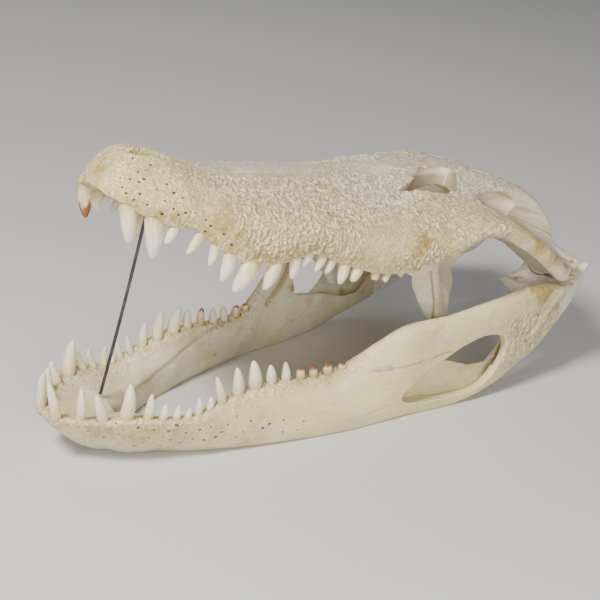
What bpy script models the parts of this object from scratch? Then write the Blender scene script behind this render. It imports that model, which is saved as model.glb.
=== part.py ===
"""Skull of a large American alligator with its jaws propped open, life size, in metres.

Every bone is first shaped with the jaws shut: x runs from the tip of the lower jaw towards the back,
y is across (the animal's left is -y) and z = 0 is the surface that the lower jaw lies on.
The cranium is then opened about the jaw joint and the whole is centred on its foot.
Lengths in the tables are millimetres, because bones are measured so."""

import math
import random

import bmesh
import bpy
import numpy as np
from mathutils import Matrix, Vector

# Driving dimensions, in millimetres and degrees
MM = 0.001
SEAM = 0.3
JOINT = (534.0, 120.0)
OPENING = 21.0
JOINT_SLIP = (30.0, -5.6)
CRANIUM_ROLL = 2.0
TOOTH_SIDES = 5
ROOT_DEPTH = 13.0
ROD_RADIUS = 1.6
CRANIUM_FACES = 3500
JAW_FACES = 900

# Cranium stations. Each row: x, height on the midline, then y and z of the roof ridge, the slope
# below it, the widest bulge, the lower margin, the inner vault, and the vault height on the midline.
CRANIUM = np.array([
    (-5, 84, 6, 83, 9, 80, 10, 77, 9, 75, 5, 75, 76),
    (-1, 96, 12, 93, 19, 85, 22, 77, 20, 72, 12, 73, 75),
    (5, 106, 19, 99, 29, 90, 33, 79, 31, 71, 19, 70, 75),
    (14, 113, 27, 105, 40, 94, 46, 80, 43, 68, 29, 70, 76),
    (32, 118, 36, 109, 50, 96, 58, 82, 55, 65, 40, 71, 79),
    (52, 118, 40, 110, 57, 98, 66, 82, 64, 64, 48, 73, 81),
    (66, 117, 41, 109, 59, 97, 70, 82, 68, 66, 52, 75, 82),
    (88, 117, 45, 108, 68, 99, 82, 83, 81, 58, 60, 72, 83),
    (127, 121, 52, 110, 80, 100, 97, 83, 95, 51, 68, 71, 84),
    (150, 126, 56, 114, 84, 103, 100, 88, 98, 58, 72, 75, 84),
    (180, 132, 58, 119, 87, 107, 104, 93, 102, 73, 76, 83, 86),
    (220, 140, 60, 126, 91, 113, 110, 96, 108, 71, 82, 83, 88),
    (260, 149, 60, 136, 97, 121, 118, 102, 115, 72, 88, 87, 94),
    (300, 159, 55, 149, 98, 132, 125, 112, 122, 83, 98, 99, 122),
    (330, 168, 44, 164, 97, 144, 131, 124, 129, 103, 104, 118, 144),
    (360, 176, 42, 172, 97, 156, 137, 142, 135, 129, 106, 138, 154),
    (385, 183, 52, 178, 95, 163, 140, 147, 138, 134, 104, 144, 166),
    (420, 188, 74, 184, 93, 160, 141, 144, 140, 129, 101, 141, 176),
    (455, 188, 82, 184, 94, 154, 141, 136, 139, 120, 101, 136, 175),
    (480, 186, 84, 176, 93, 150, 140, 127, 137, 112, 100, 132, 173),
    (505, 184, 84, 160, 91, 147, 135, 122, 131, 107, 98, 129, 170),
    (522, 177, 80, 148, 86, 143, 128, 122, 126, 111, 94, 127, 166),
], float)

# Lower jaw stations. Each row: x and y of the top edge, heading of the section (degrees from +x),
# height of the top, height and outward shift of the underside, half thickness at the top,
# and thickness outwards and inwards at mid height.
RAMUS = np.array([
    (-3, 0.0, 180, 52, 0, -50, 6, 6, 66),
    (0, 15, 170, 53, 0, -50, 6, 6, 63),
    (13, 31, 154, 54, 0, -49, 6, 6, 58),
    (29, 45, 134, 55, 0, -43, 6, 6, 54),
    (47, 55, 114, 57, 0, -38, 8, 7, 50),
    (66, 61, 103, 54, 0, -35, 7, 8, 46),
    (90, 67, 99, 49, 0, -31, 7, 9, 40),
    (115, 72, 96, 49, 0, -21, 7, 11, 30),
    (141, 73, 95, 56, 0, -10, 7, 13, 20),
    (178, 74, 96, 63, 0, 3, 8, 15, 14),
    (213, 76, 98, 61, 0, 11, 8, 16, 13),
    (245, 79, 100, 58, 0, 16, 8, 16, 13),
    (278, 85, 100, 62, 0, 17, 7, 14, 13),
    (310, 97, 99, 83, 0, 8, 6, 12, 15),
    (340, 106, 98, 98, 0, 1, 7, 11, 18),
    (385, 114, 97, 103, 1, 0, 7, 9, 18),
    (425, 120, 96, 108, 8, 0, 8, 9, 18),
    (460, 124, 93, 112, 17, -4, 8, 9, 17),
    (490, 125, 90, 114, 28, -8, 9, 9, 17),
    (516, 123, 84, 113, 40, -10, 10, 9, 18),
    (545, 117, 78, 108, 62, -9, 10, 8, 17),
    (572, 111, 74, 110, 84, -6, 8, 7, 13),
    (598, 105, 72, 118, 108, -2, 3, 3, 4),
], float)

# Upper teeth from front to back, the first two of each side being lost: place along x, crown length
# and width, and the lean towards the snout in degrees. The front ones stand at a distance of their own
# from the midline, and the first two on the right are shorter and lean back.
UPPER_X = (12, 34, 54, 76, 89, 104, 125, 149, 167, 181, 196, 208, 222, 238, 257, 271, 285, 296)
UPPER_LENGTH = (35, 37, 20, 23, 21, 27, 33, 30, 24, 17, 19, 18, 22, 18, 14, 16, 9, 9)
UPPER_WIDTH = (15, 17, 10, 9, 9, 13, 17, 14, 11, 9, 9, 8, 11, 11, 9, 8, 7, 6)
UPPER_LEAN = (-20, -15, 23, 28, 2, 6, 24, 11, -7, 14, 14, 18, 0, 16, -8, 10, -8, -8)
FRONT_Y = {0: 36, 1: 49, 2: 57}
RIGHT_FRONT = {0: (33, 14, -23), 1: (21, 12, -22)}

# Lower teeth from front to back, with crown length and lean as they differ between the two sides
LOWER_X = (-3, 13, 29, 47, 66, 80, 93, 104, 115, 127, 141, 159, 178, 196, 213, 230, 245, 261, 276)
LOWER_WIDTH = (10, 9, 10, 13, 9, 8, 7, 7, 7, 7, 9, 11, 13, 10, 9, 9, 9, 10, 9)
LOWER_LENGTH = {
    "left": (38, 33, 30, 35, 24, 15, 14, 9, 18, 12, 29, 28, 28, 19, 20, 15, 15, 15, 7),
    "right": (33, 26, 23, 32, 20, 20, 18, 5, 18, 19, 23, 28, 25, 18, 18, 16, 15, 13, 7),
}
LOWER_LEAN = {
    "left": (10, 0, 15, -6, -11, -15, -12, -15, -2, -7, 14, 5, 6, 3, 4, 6, 10, 12, -6),
    "right": (-6, -3, 10, -12, 20, 16, -8, 0, 12, 11, -9, -12, -20, -3, -7, 0, 3, -12, 0),
}

BONE = (0.78, 0.72, 0.58)
GREY_BONE = (0.70, 0.67, 0.62)
TOOTH_BONE = (0.84, 0.79, 0.66)
ROD_METAL = (0.10, 0.10, 0.11)


def clear_scene():
    for old in list(bpy.data.objects):
        bpy.data.objects.remove(old, do_unlink=True)
    for name in ("alligator_skull", "cutters"):
        made = bpy.data.collections.new(name)
        bpy.context.scene.collection.children.link(made)


def material(name, colour, roughness, metallic=0.0):
    made = bpy.data.materials.new(name)
    made.use_nodes = True
    shader = made.node_tree.nodes["Principled BSDF"]
    shader.inputs["Base Color"].default_value = (*colour, 1.0)
    shader.inputs["Roughness"].default_value = roughness
    shader.inputs["Metallic"].default_value = metallic
    made.diffuse_color = (*colour, 1.0)
    return made


def new_object(name, mesh):
    made = bpy.data.objects.new(name, mesh)
    bpy.data.collections["alligator_skull"].objects.link(made)
    return made


def along(rows, x):
    """One smooth row between the stations of a table, read at x in its first column."""
    stations = rows[:, 0]
    slopes = np.gradient(rows, stations, axis=0)
    i = int(np.clip(np.searchsorted(stations, x) - 1, 0, len(stations) - 2))
    span = stations[i + 1] - stations[i]
    t = (x - stations[i]) / span
    ends = (2 * t**3 - 3 * t**2 + 1) * rows[i] + (3 * t**2 - 2 * t**3) * rows[i + 1]
    bends = (t**3 - 2 * t**2 + t) * slopes[i] + (t**3 - t**2) * slopes[i + 1]
    return ends + bends * span


def closed_curve(points, steps):
    """A smooth closed line through a few points, with the given steps between each two."""
    points = np.array(points, float)
    count = len(points)
    found = []
    for i in range(count):
        before, start, end, after = (points[(i + k) % count] for k in (-1, 0, 1, 2))
        for k in range(steps):
            t = k / steps
            found.append(
                0.5 * (2 * start + (end - before) * t
                       + (2 * before - 5 * start + 4 * end - after) * t**2
                       + (3 * start - before - 3 * end + after) * t**3)
            )
    return found


def loft(name, rings):
    """A closed solid through rings of equally many points, given in millimetres."""
    shape = bmesh.new()
    rows = [[shape.verts.new(Vector(point) * MM) for point in ring] for ring in rings]
    count = len(rows[0])
    for first, second in zip(rows, rows[1:]):
        for i in range(count):
            j = (i + 1) % count
            shape.faces.new((first[i], first[j], second[j], second[i]))
    shape.faces.new(rows[0])
    shape.faces.new(rows[-1][::-1])
    return finish(name, shape)


def finish(name, shape):
    bmesh.ops.triangulate(shape, faces=shape.faces[:])
    bmesh.ops.recalc_face_normals(shape, faces=shape.faces[:])
    mesh = bpy.data.meshes.new(name)
    shape.to_mesh(mesh)
    shape.free()
    return new_object(name, mesh)


def prism(name, outline, low, high):
    """An upright block over a plan outline, with a floor and a roof that may slope with x."""
    heights = [level if callable(level) else (lambda x, fixed=level: fixed) for level in (low, high)]
    return loft(name, [[(x, y, height(x)) for x, y in outline] for height in heights])


def oval(centre, radii, turn=0.0, sides=20):
    """Plan outline of an ellipse, turned about its centre."""
    found = []
    for i in range(sides):
        angle = 2 * math.pi * i / sides
        x, y = radii[0] * math.cos(angle), radii[1] * math.sin(angle)
        bend = math.radians(turn)
        found.append((centre[0] + x * math.cos(bend) - y * math.sin(bend),
                      centre[1] + x * math.sin(bend) + y * math.cos(bend)))
    return found


def ball(name, centre, radii, turn=(0.0, 0.0, 0.0), sides=16):
    shape = bmesh.new()
    bmesh.ops.create_uvsphere(shape, u_segments=sides, v_segments=sides // 2, radius=1.0)
    scale = Matrix.Diagonal((*[radius * MM for radius in radii], 1.0))
    spin = Matrix.Rotation(math.radians(turn[2]), 4, "Z") @ Matrix.Rotation(math.radians(turn[1]), 4, "Y")
    spin = spin @ Matrix.Rotation(math.radians(turn[0]), 4, "X")
    place = Matrix.Translation(Vector(centre) * MM) @ spin @ scale
    bmesh.ops.transform(shape, matrix=place, verts=shape.verts)
    return finish(name, shape)


def mirrored(name, obj):
    """A copy of a solid on the other side of the midline."""
    shape = bmesh.new()
    shape.from_mesh(obj.data)
    bmesh.ops.transform(shape, matrix=Matrix.Diagonal((1, -1, 1, 1)), verts=shape.verts)
    return finish(name, shape)


def copied(name, obj):
    made = obj.copy()
    made.data = obj.data.copy()
    made.name = name
    bpy.data.collections["alligator_skull"].objects.link(made)
    return made


def drop(*objects):
    for obj in objects:
        bpy.data.objects.remove(obj, do_unlink=True)


def boolean(target, others, operation):
    """Joins or cuts solids, then removes the others. The exact solver leaves open edges at thin ends."""
    group = bpy.data.collections.new("pieces")
    bpy.context.scene.collection.children.link(group)
    for other in others:
        group.objects.link(other)
    step = target.modifiers.new(operation, "BOOLEAN")
    step.operation = operation
    step.solver = "MANIFOLD"
    step.operand_type = "COLLECTION"
    step.collection = group
    graph = bpy.context.evaluated_depsgraph_get()
    mesh = bpy.data.meshes.new_from_object(target.evaluated_get(graph))
    target.modifiers.clear()
    target.data = mesh
    drop(*others)
    bpy.data.collections.remove(group)
    return tidy(target)


def common(target, other):
    """What two solids share."""
    step = target.modifiers.new("shared", "BOOLEAN")
    step.operation = "INTERSECT"
    step.solver = "MANIFOLD"
    step.object = other
    graph = bpy.context.evaluated_depsgraph_get()
    mesh = bpy.data.meshes.new_from_object(target.evaluated_get(graph))
    target.modifiers.clear()
    target.data = mesh
    drop(other)
    return tidy(target)


def tidy(obj):
    """Merges the doubles that a cut leaves and makes every face a triangle."""
    shape = bmesh.new()
    shape.from_mesh(obj.data)
    bmesh.ops.remove_doubles(shape, verts=shape.verts, dist=0.000002)
    bmesh.ops.triangulate(shape, faces=shape.faces[:])
    shape.to_mesh(obj.data)
    shape.free()
    return obj


def thin_out(obj, faces):
    """Brings a dense solid down to about this many triangles."""
    step = obj.modifiers.new("thin", "DECIMATE")
    step.ratio = min(1.0, faces / len(obj.data.polygons))
    graph = bpy.context.evaluated_depsgraph_get()
    mesh = bpy.data.meshes.new_from_object(obj.evaluated_get(graph))
    obj.modifiers.clear()
    obj.data = mesh
    return tidy(obj)


def keep_largest(obj):
    """Keeps the largest closed surface of a mesh, without the scraps a cut leaves."""
    shape = bmesh.new()
    shape.from_mesh(obj.data)
    bmesh.ops.remove_doubles(shape, verts=shape.verts, dist=0.00001)
    seen, islands = set(), []
    for start in shape.verts:
        if start in seen:
            continue
        island, queue = [], [start]
        seen.add(start)
        while queue:
            vert = queue.pop()
            island.append(vert)
            for edge in vert.link_edges:
                other = edge.other_vert(vert)
                if other not in seen:
                    seen.add(other)
                    queue.append(other)
        islands.append(island)
    islands.sort(key=spread, reverse=True)
    bmesh.ops.delete(shape, geom=[vert for island in islands[1:] for vert in island], context="VERTS")
    bmesh.ops.triangulate(shape, faces=shape.faces[:])
    shape.to_mesh(obj.data)
    shape.free()
    return obj


def spread(island):
    """Size of the box round some vertices."""
    places = np.array([vert.co[:] for vert in island])
    return float(np.prod(places.max(axis=0) - places.min(axis=0)))


def outline_offset(outline, distance):
    """The same plan outline, moved outwards by a distance all round."""
    points = np.array(outline, float)
    following = np.roll(points, -1, axis=0)
    area = np.sum(points[:, 0] * following[:, 1] - following[:, 0] * points[:, 1])
    edges = following - points
    normals = np.stack([edges[:, 1], -edges[:, 0]], 1) * np.sign(area)
    normals /= np.linalg.norm(normals, axis=1)[:, None]
    earlier = np.roll(normals, 1, axis=0)
    mitre = (normals + earlier) / (1 + np.sum(normals * earlier, axis=1))[:, None]
    return [tuple(point) for point in points + mitre * distance]


def plan(outline, low=-100.0, high=400.0):
    """A region seen from above, between two levels, which can be made a little larger or smaller."""
    return lambda grow: prism("region", outline_offset(outline, grow),
                              shifted(low, -grow), shifted(high, grow))


def profile(outline, near, far):
    """A region seen from the side, between two distances from the midline."""
    def made(grow):
        grown = outline_offset(outline, grow)
        return loft("region", [[(x, y, z) for x, z in grown] for y in (near - grow, far + grow)])
    return made


def shifted(level, amount):
    return (lambda x: level(x) + amount) if callable(level) else level + amount


def part_off(name, whole, region):
    """Cuts the bone inside a region from the whole, and leaves the seam between them."""
    piece = common(copied(name, whole), region(-SEAM / 2))
    boolean(whole, [region(SEAM / 2)], "DIFFERENCE")
    return keep_largest(piece)


def flip(outline):
    return [(x, -y) for x, y in outline]


def sloped(x0, z0, x1, z1):
    """A level that runs straight from z0 at x0 to z1 at x1."""
    return lambda x: z0 + (z1 - z0) * (x - x0) / (x1 - x0)


def cranium_ring(row):
    """The section of the skull at one station, round from the roof to the palate and back."""
    x, mid, ridge_y, ridge_z, slope_y, slope_z, bulge_y, bulge_z = row[:8]
    edge_y, edge_z, vault_y, vault_z, inner = row[8:]
    shelf = min(13.0, 0.45 * edge_y)
    half = [(ridge_y, ridge_z), (slope_y, slope_z), (bulge_y, bulge_z), (edge_y, edge_z),
            (edge_y - shelf, edge_z + 2), (vault_y - 4, vault_z)]
    right = [(0, mid)] + half + [(0, inner)]
    ring = right + [(-y, z) for y, z in half[::-1]]
    return [(x, y, z) for y, z in closed_curve(ring, 2)]


def make_shell():
    """The outer bone of the whole skull, from the snout tip to the jaw joints."""
    places = [-5, -3.5, -1, 2, 5, 9, 14, 20, 26, 32, 42, 52, 66, 77, 88, 101, 114, 127, 138, 150, 165]
    places += list(np.linspace(180, 480, 23)) + [492, 505, 514, 522]
    return loft("cranium", [cranium_ring(along(CRANIUM, x)) for x in places])


def both(make, *args):
    """A solid and its mirror image, for each side of the head."""
    right = make(*args)
    return [right, mirrored("other", right)]


def slab(name, sections, steps=2):
    """A loft through four-cornered sections across x: each is x and four (y, z) corners."""
    return loft(name, [[(x, y, z) for y, z in closed_curve(corners, steps)] for x, corners in sections])


def make_braincase():
    """The block under the skull table, ending in the occiput, with its condyle and the basal tubera."""
    block = slab("braincase", [
        (372, [(-9, 172), (9, 172), (7, 140), (-7, 140)]),
        (395, [(-17, 177), (17, 177), (13, 116), (-13, 116)]),
        (430, [(-26, 181), (26, 181), (22, 102), (-22, 102)]),
        (460, [(-40, 180), (40, 180), (26, 100), (-26, 100)]),
        (480, [(-48, 177), (48, 177), (22, 106), (-22, 106)]),
    ])
    condyle = ball("condyle", (485, 0, 140), (12, 11, 9))
    return [block, condyle]


def make_quadrate():
    """The thick strut from the braincase down and out to the jaw joint."""
    strut = slab("quadrate", [
        (420, [(12, 176), (34, 176), (40, 132), (12, 126)]),
        (450, [(18, 174), (70, 162), (66, 142), (20, 127)]),
        (478, [(34, 166), (104, 140), (100, 124), (44, 128)]),
        (500, [(66, 148), (124, 132), (124, 110), (74, 112)]),
        (522, [(80, 134), (126, 133), (126, 114), (80, 110)]),
    ])
    return strut


KNOBS = (((516, 86, 116), (13, 15, 14)), ((515, 112, 119), (12, 17, 12)))
KNOB_SIDES = 12
JOINT_ROOM = 1.5
JOINT_HOLLOWS = {
    "left": (((516, 100, 122), (17, 30, 17)),),
    "right": (((516, 100, 122), (17, 30, 17)), ((512, 126, 112), (28, 18, 12))),
}


def make_joint_roller():
    """The rounded end of the quadrate that turns in the lower jaw: two knobs with a dip between."""
    return [ball("knob", centre, radii, sides=KNOB_SIDES) for centre, radii in KNOBS]


def make_palatines():
    """The bar along the middle of the palate that carries the air passage."""
    return slab("palatines", [
        (190, [(-28, 98), (28, 98), (24, 79), (-24, 79)]),
        (230, [(-24, 100), (24, 100), (20, 77), (-20, 77)]),
        (280, [(-18, 102), (18, 102), (15, 78), (-15, 78)]),
        (330, [(-18, 104), (18, 104), (16, 78), (-16, 78)]),
        (362, [(-24, 106), (24, 106), (20, 82), (-20, 82)]),
    ])


def make_pterygoids():
    """The plates behind the palate: a core under the braincase and a wing down each side."""
    core = slab("core", [
        (335, [(-22, 100), (22, 100), (20, 80), (-20, 80)]),
        (375, [(-30, 108), (30, 108), (26, 78), (-26, 78)]),
        (415, [(-28, 120), (28, 120), (24, 80), (-24, 80)]),
        (452, [(-26, 126), (26, 126), (20, 92), (-20, 92)]),
    ])
    wings = []
    for side in (1, -1):
        rings = []
        for y, front, front_z, back, back_z, thick in (
            (8, 345, 92, 450, 108, 16), (30, 348, 88, 454, 96, 11), (44, 350, 85, 426, 83, 10),
            (56, 351, 82, 424, 70, 9), (74, 354, 78, 407, 54, 9), (86, 358, 74, 402, 28, 8),
        ):
            middle, high = (front + back) / 2, (front_z + back_z) / 2
            ring = closed_curve([(front, front_z), (middle, high + thick / 2), (back, back_z),
                                 (middle, high - thick / 2)], 3)
            rings.append([(x, side * y, z) for x, z in ring])
        wings.append(loft("wing", rings))
    return [core] + wings


def make_ectopterygoid():
    """The strut from the cheek down to the edge of the pterygoid wing."""
    rings = []
    for z, front, back, y, thick in (
        (116, 296, 336, 112, 12), (98, 298, 336, 108, 13), (82, 308, 348, 102, 13), (62, 325, 368, 95, 12),
        (42, 351, 386, 90, 11), (26, 374, 396, 87, 10), (17, 384, 398, 86, 7),
    ):
        middle = (front + back) / 2
        ring = closed_curve([(front, y), (middle, y + thick / 2), (back, y), (middle, y - thick / 2)], 3)
        rings.append([(x, across, z) for x, across in ring])
    return loft("ectopterygoid", rings)


ORBIT = [(301, 59), (316, 67), (332, 72), (348, 77), (361, 77), (371, 65), (387, 41), (382, 28), (366, 25),
         (351, 27), (336, 38), (318, 53)]
CHEEK_WINDOW = [(381, 86), (395, 83), (420, 86), (428, 93), (408, 108), (388, 112), (378, 103)]


def both_sides(outline, side):
    return [(x, side * y) for x, y in outline]


def cranium_cutters():
    """Openings of the skull, as solids to take away."""
    cuts = []
    for side in (1, -1):
        cuts.append(ball("naris", (38, side * 12, 121), (24, 9.5, 22), sides=12))
        cuts.append(prism("orbit", both_sides(closed_curve(ORBIT, 2), side), 60, 260))
        cuts.append(prism("cheek_window", both_sides(closed_curve(CHEEK_WINDOW, 2), side), 100, 260))
        cuts.append(ball("ear_groove", (455, side * 90, 163), (60, 4, 5), sides=12))
        cuts.append(ball("cheek_hollow", (412, side * 88, 166), (28, 11, 9), sides=12))
        cuts.append(prism("table_window", oval((432, side * 35), (18, 12), side * 10, 12), 150, 260))
        cuts.append(prism("palate_window", oval((262, side * 50), (62, 24), side * 10, 14), 30, 122))
        cuts.append(ball("orbit_floor", (318, side * 56, 114), (60, 27, 27), sides=12))
    cuts.append(ball("incisive_hole", (26, 0, 70), (10, 6, 16), sides=10))
    cuts.append(ball("choana", (404, 0, 76), (12, 13, 14), sides=10))
    cuts.append(ball("spinal_hole", (486, 0, 157), (16, 10, 8), sides=10))
    notch = [(489, -56), (486, -20), (486, 20), (489, 56), (500, 72), (513, 77), (516, 85), (517, 98),
             (560, 98), (560, -98), (517, -98), (516, -85), (513, -77), (500, -72)]
    cuts.append(prism("nape", notch, 60, 260))
    return cuts


def make_bar_slit():
    """The narrow gap between the skull table's rear corner and the bar behind the cheek."""
    return slab("bar_slit", [
        (424, [(92.8, 150), (95.2, 150), (95.2, 176), (92.8, 176)]),
        (445, [(92.5, 141), (96.5, 141), (96.5, 172), (92.5, 172)]),
        (500, [(92.5, 136), (96.5, 136), (96.5, 164), (92.5, 164)]),
        (530, [(92.5, 132), (96.5, 132), (96.5, 160), (92.5, 160)]),
    ], 1)


def make_cranium():
    """All the bones of the cranium as one solid, before they are parted at their sutures."""
    whole = make_shell()
    boolean(whole, cranium_cutters(), "DIFFERENCE")
    inner = make_braincase() + both(make_quadrate) + make_pterygoids() + both(make_ectopterygoid)
    inner += [make_palatines()]
    for knob in make_joint_roller():
        inner += [knob, mirrored("other", knob)]
    boolean(whole, inner, "UNION")
    thin_out(keep_largest(whole), CRANIUM_FACES)
    return boolean(whole, both(make_bar_slit), "DIFFERENCE")


PREMAXILLA = [(-30, 0), (84, 0), (84, 14), (74, 30), (64, 50), (60, 100), (-30, 100)]
NASAL = [(84, -14), (84, 14), (110, 17), (170, 18), (230, 15), (262, 5), (262, -5), (230, -15),
         (170, -18), (110, -17)]
MAXILLA = [(50, 0), (268, 0), (236, 30), (232, 62), (262, 84), (308, 118), (312, 150), (50, 150)]
BROW = [(200, -82), (304, -82), (325, -60), (374, -50), (386, -36), (388, 0), (386, 36), (374, 50), (325, 60),
        (304, 82), (200, 82)]
TABLE = [(370, -94), (540, -94), (540, 94), (370, 94)]
JUGAL = [(230, 60), (360, 60), (400, 84), (452, 100), (462, 160), (230, 160)]
ECTO = [(300, 150), (300, 96), (320, 94), (344, 88), (366, 82), (386, 78), (420, 76), (420, 150)]


def part_cranium(whole):
    """Parts the skull at its sutures, front to back, and returns the bones by name."""
    sides = (("left", flip), ("right", list))
    bones = {}

    def part(name, outline, low=0.0, high=300.0):
        bones[name] = part_off(name, whole, plan(outline, low, high))

    part("nasals", NASAL, sloped(84, 104, 262, 136))
    part("palatines", [(196, -27), (346, -27), (346, 27), (196, 27)], 50, 112)
    for side, turn in sides:
        part("ectopterygoid_" + side, turn(ECTO), 0, sloped(306, 90, 346, 108))
    part("pterygoid", [(300, -96), (470, -96), (470, 96), (300, 96)], 0, sloped(346, 112, 452, 108))
    for side, turn in sides:
        part("premaxilla_" + side, turn(PREMAXILLA))
        part("maxilla_" + side, turn(MAXILLA))
    part("brow", BROW, 120)
    part("skull_table", TABLE, sloped(390, 161, 525, 146))
    for side, turn in sides:
        part("jugal_" + side, turn(JUGAL))
    part("braincase", [(350, -30), (520, -30), (520, 30), (350, 30)])
    for side, turn in sides:
        part("quadrate_" + side, turn([(380, 31), (560, 31), (560, 160), (380, 160)]))
    drop(whole)
    return bones


def ramus_ring(row):
    """The section of one half of the lower jaw."""
    x, y, heading, top, under, shift, crest, outer, inner = row
    turn = math.radians(heading)
    deep = top - under
    spread_out = max(shift, 0.0)
    points = [
        (crest, top - 1.5), (shift * 0.2 + outer, under + 0.66 * deep),
        (shift * 0.6 + outer, under + 0.28 * deep), (shift + min(3, outer), under),
        (shift - min(8, inner), under), (spread_out * 0.75 - inner, under + 0.26 * deep),
        (spread_out * 0.35 - inner, under + 0.62 * deep), (-crest, top - 2),
    ]
    return [(x + math.cos(turn) * w, y + math.sin(turn) * w, z) for w, z in closed_curve(points, 3)]


def ramus_rows(first, last, count):
    """Evenly spread rows of the lower jaw table, counted by station number."""
    numbered = np.column_stack([np.arange(len(RAMUS)), RAMUS])
    return [along(numbered, place)[1:] for place in np.linspace(first, last, count)]


def make_ramus():
    rings = [ramus_ring(row) for row in ramus_rows(0, len(RAMUS) - 1, 45)]
    rings[0] = [(x, -0.6, z) for x, y, z in rings[0]]
    return loft("ramus", rings)


def make_articular():
    """The cup of the jaw joint, on the inner side of the ramus."""
    return slab("cup", [
        (484, [(108, 103), (118, 106), (118, 90), (110, 97)]),
        (500, [(72, 107), (120, 112), (118, 84), (79, 101)]),
        (524, [(66, 105), (120, 108), (116, 62), (77, 85)]),
        (536, [(65, 107), (120, 106), (114, 66), (78, 84)]),
        (546, [(65, 118), (118, 106), (112, 72), (80, 84)]),
        (566, [(86, 110), (112, 108), (110, 84), (92, 86)]),
    ])


WINDOWS = {
    "left": [(331, 26), (345, 16.5), (386, 13), (416, 13.5), (436, 21), (453, 42), (458, 58), (450, 73),
             (428, 77), (405, 71), (383, 61), (364, 51.5), (344, 39)],
    "right": [(354, 66), (360, 50), (376, 39), (395, 42), (411, 54), (421, 70), (420, 83), (406, 90),
              (384, 90), (363, 84)],
}


def jaw_window(side):
    """The window in the side of the jaw, which lies higher on the right."""
    sign = -1 if side == "left" else 1
    return loft("jaw_window", [[(x, sign * (98 + 0.14 * (x - 340) + out), z) for x, z in WINDOWS[side]]
                               for out in (0, 70)])


def jaw_cutters():
    """The muscle pit inside the jaw, with a low wall on its inner side, and the pocket below it."""
    pit = slab("muscle_pit", [
        (346, [(60, 84), (101, 84), (101, 61), (60, 61)]),
        (356, [(60, 150), (108, 140), (108, 59), (60, 55)]),
        (383, [(60, 150), (116, 140), (116, 52), (60, 48)]),
        (406, [(60, 170), (119, 150), (119, 45), (60, 41)]),
        (430, [(60, 170), (121, 150), (121, 35), (60, 32)]),
        (452, [(60, 170), (122, 150), (122, 35), (60, 32)]),
        (464, [(60, 170), (122, 150), (122, 45), (60, 42)]),
        (474, [(60, 170), (121, 150), (120, 57), (60, 54)]),
        (488, [(60, 170), (119, 150), (116, 72), (60, 68)]),
    ], 1)
    pocket = slab("muscle_pocket", [
        (346, [(94, 62), (103, 62), (103, 24), (95, 24)]),
        (380, [(101, 62), (110, 62), (109, 15), (101, 15)]),
        (420, [(107, 62), (117, 62), (116, 16), (107, 16)]),
        (455, [(111, 64), (119, 64), (119, 28), (111, 28)]),
        (474, [(113, 66), (119, 66), (118, 46), (113, 46)]),
    ])
    return [pit, pocket]


def joint_room(side):
    """Room in the lower jaw for the two knobs of the opened joint, a little larger than they are."""
    rooms = []
    for centre, radii in KNOBS + JOINT_HOLLOWS[side]:
        room = ball("room", centre, [radius + JOINT_ROOM for radius in radii], sides=KNOB_SIDES)
        if side == "left":
            room.data.transform(Matrix.Diagonal((1, -1, 1, 1)))
            room.data.flip_normals()
        for vert in room.data.vertices:
            vert.co = opened(vert.co / MM) * MM
        rooms.append(room)
    return rooms


ARTICULAR = [(480, 40), (480, 112), (540, 115), (556, 160), (640, 160), (640, 40)]
DENTARY = [(-40, -20), (277, -20), (277, 3), (307, 13), (338, 21), (345, 27), (380, 44), (398, 57),
           (399, 64), (352, 60), (305, 63), (286, 86), (270, 120), (-40, 120)]
ANGULAR = [(200, -20), (200, 28), (345, 27), (380, 44), (398, 50), (450, 50), (458, 46), (500, 51),
           (560, 74), (600, 100), (620, -20)]


def make_lower_jaw():
    """Both halves of the lower jaw, each parted at its sutures."""
    half = make_ramus()
    boolean(half, [make_articular()], "UNION")
    cup = ball("cup_hollow", (520, 94, 124), (26, 30, 22))
    foot = prism("foot", [(-60, -60), (700, -60), (700, 200), (-60, 200)], -60, 1.2)
    boolean(half, jaw_cutters() + [cup, foot], "DIFFERENCE")
    thin_out(keep_largest(half), JAW_FACES)
    bones = {}
    for side, turn in (("right", list), ("left", flip)):
        whole = copied("whole", half) if side == "right" else mirrored("whole", half)
        boolean(whole, [jaw_window(side)] + joint_room(side), "DIFFERENCE")
        across = (0.0, 200.0) if side == "right" else (-200.0, 0.0)
        for name, region in (("articular_", plan(turn(ARTICULAR))), ("dentary_", profile(DENTARY, *across)),
                             ("angular_", profile(ANGULAR, *across))):
            bones[name + side] = part_off(name + side, whole, region)
        bones["surangular_" + side] = keep_largest(whole)
    drop(half)
    return bones


def tooth(base, inward, lean, splay, length, width, rise):
    """A conical tooth with its root, which bends inwards to stay in the bone."""
    axis = Vector((-math.sin(math.radians(lean)), math.sin(math.radians(splay)), rise)).normalized()
    across = axis.cross(Vector((0, 1, 0))).normalized()
    side = axis.cross(across)
    root = Vector((0, 0, -rise)) * ROOT_DEPTH + Vector(inward)
    rings = []
    for place, size in ((None, 0.8), (0.0, 1.0), (0.55 * length, 0.74), (length, 0.16)):
        centre = Vector(base) + (root if place is None else axis * place)
        ring = []
        for i in range(TOOTH_SIDES):
            angle = 2 * math.pi * (i + 0.5) / TOOTH_SIDES
            ring.append(centre + (across * math.cos(angle) + side * math.sin(angle) * 0.9) * width * size / 2)
        rings.append(ring)
    return loft("tooth", rings)


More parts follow.
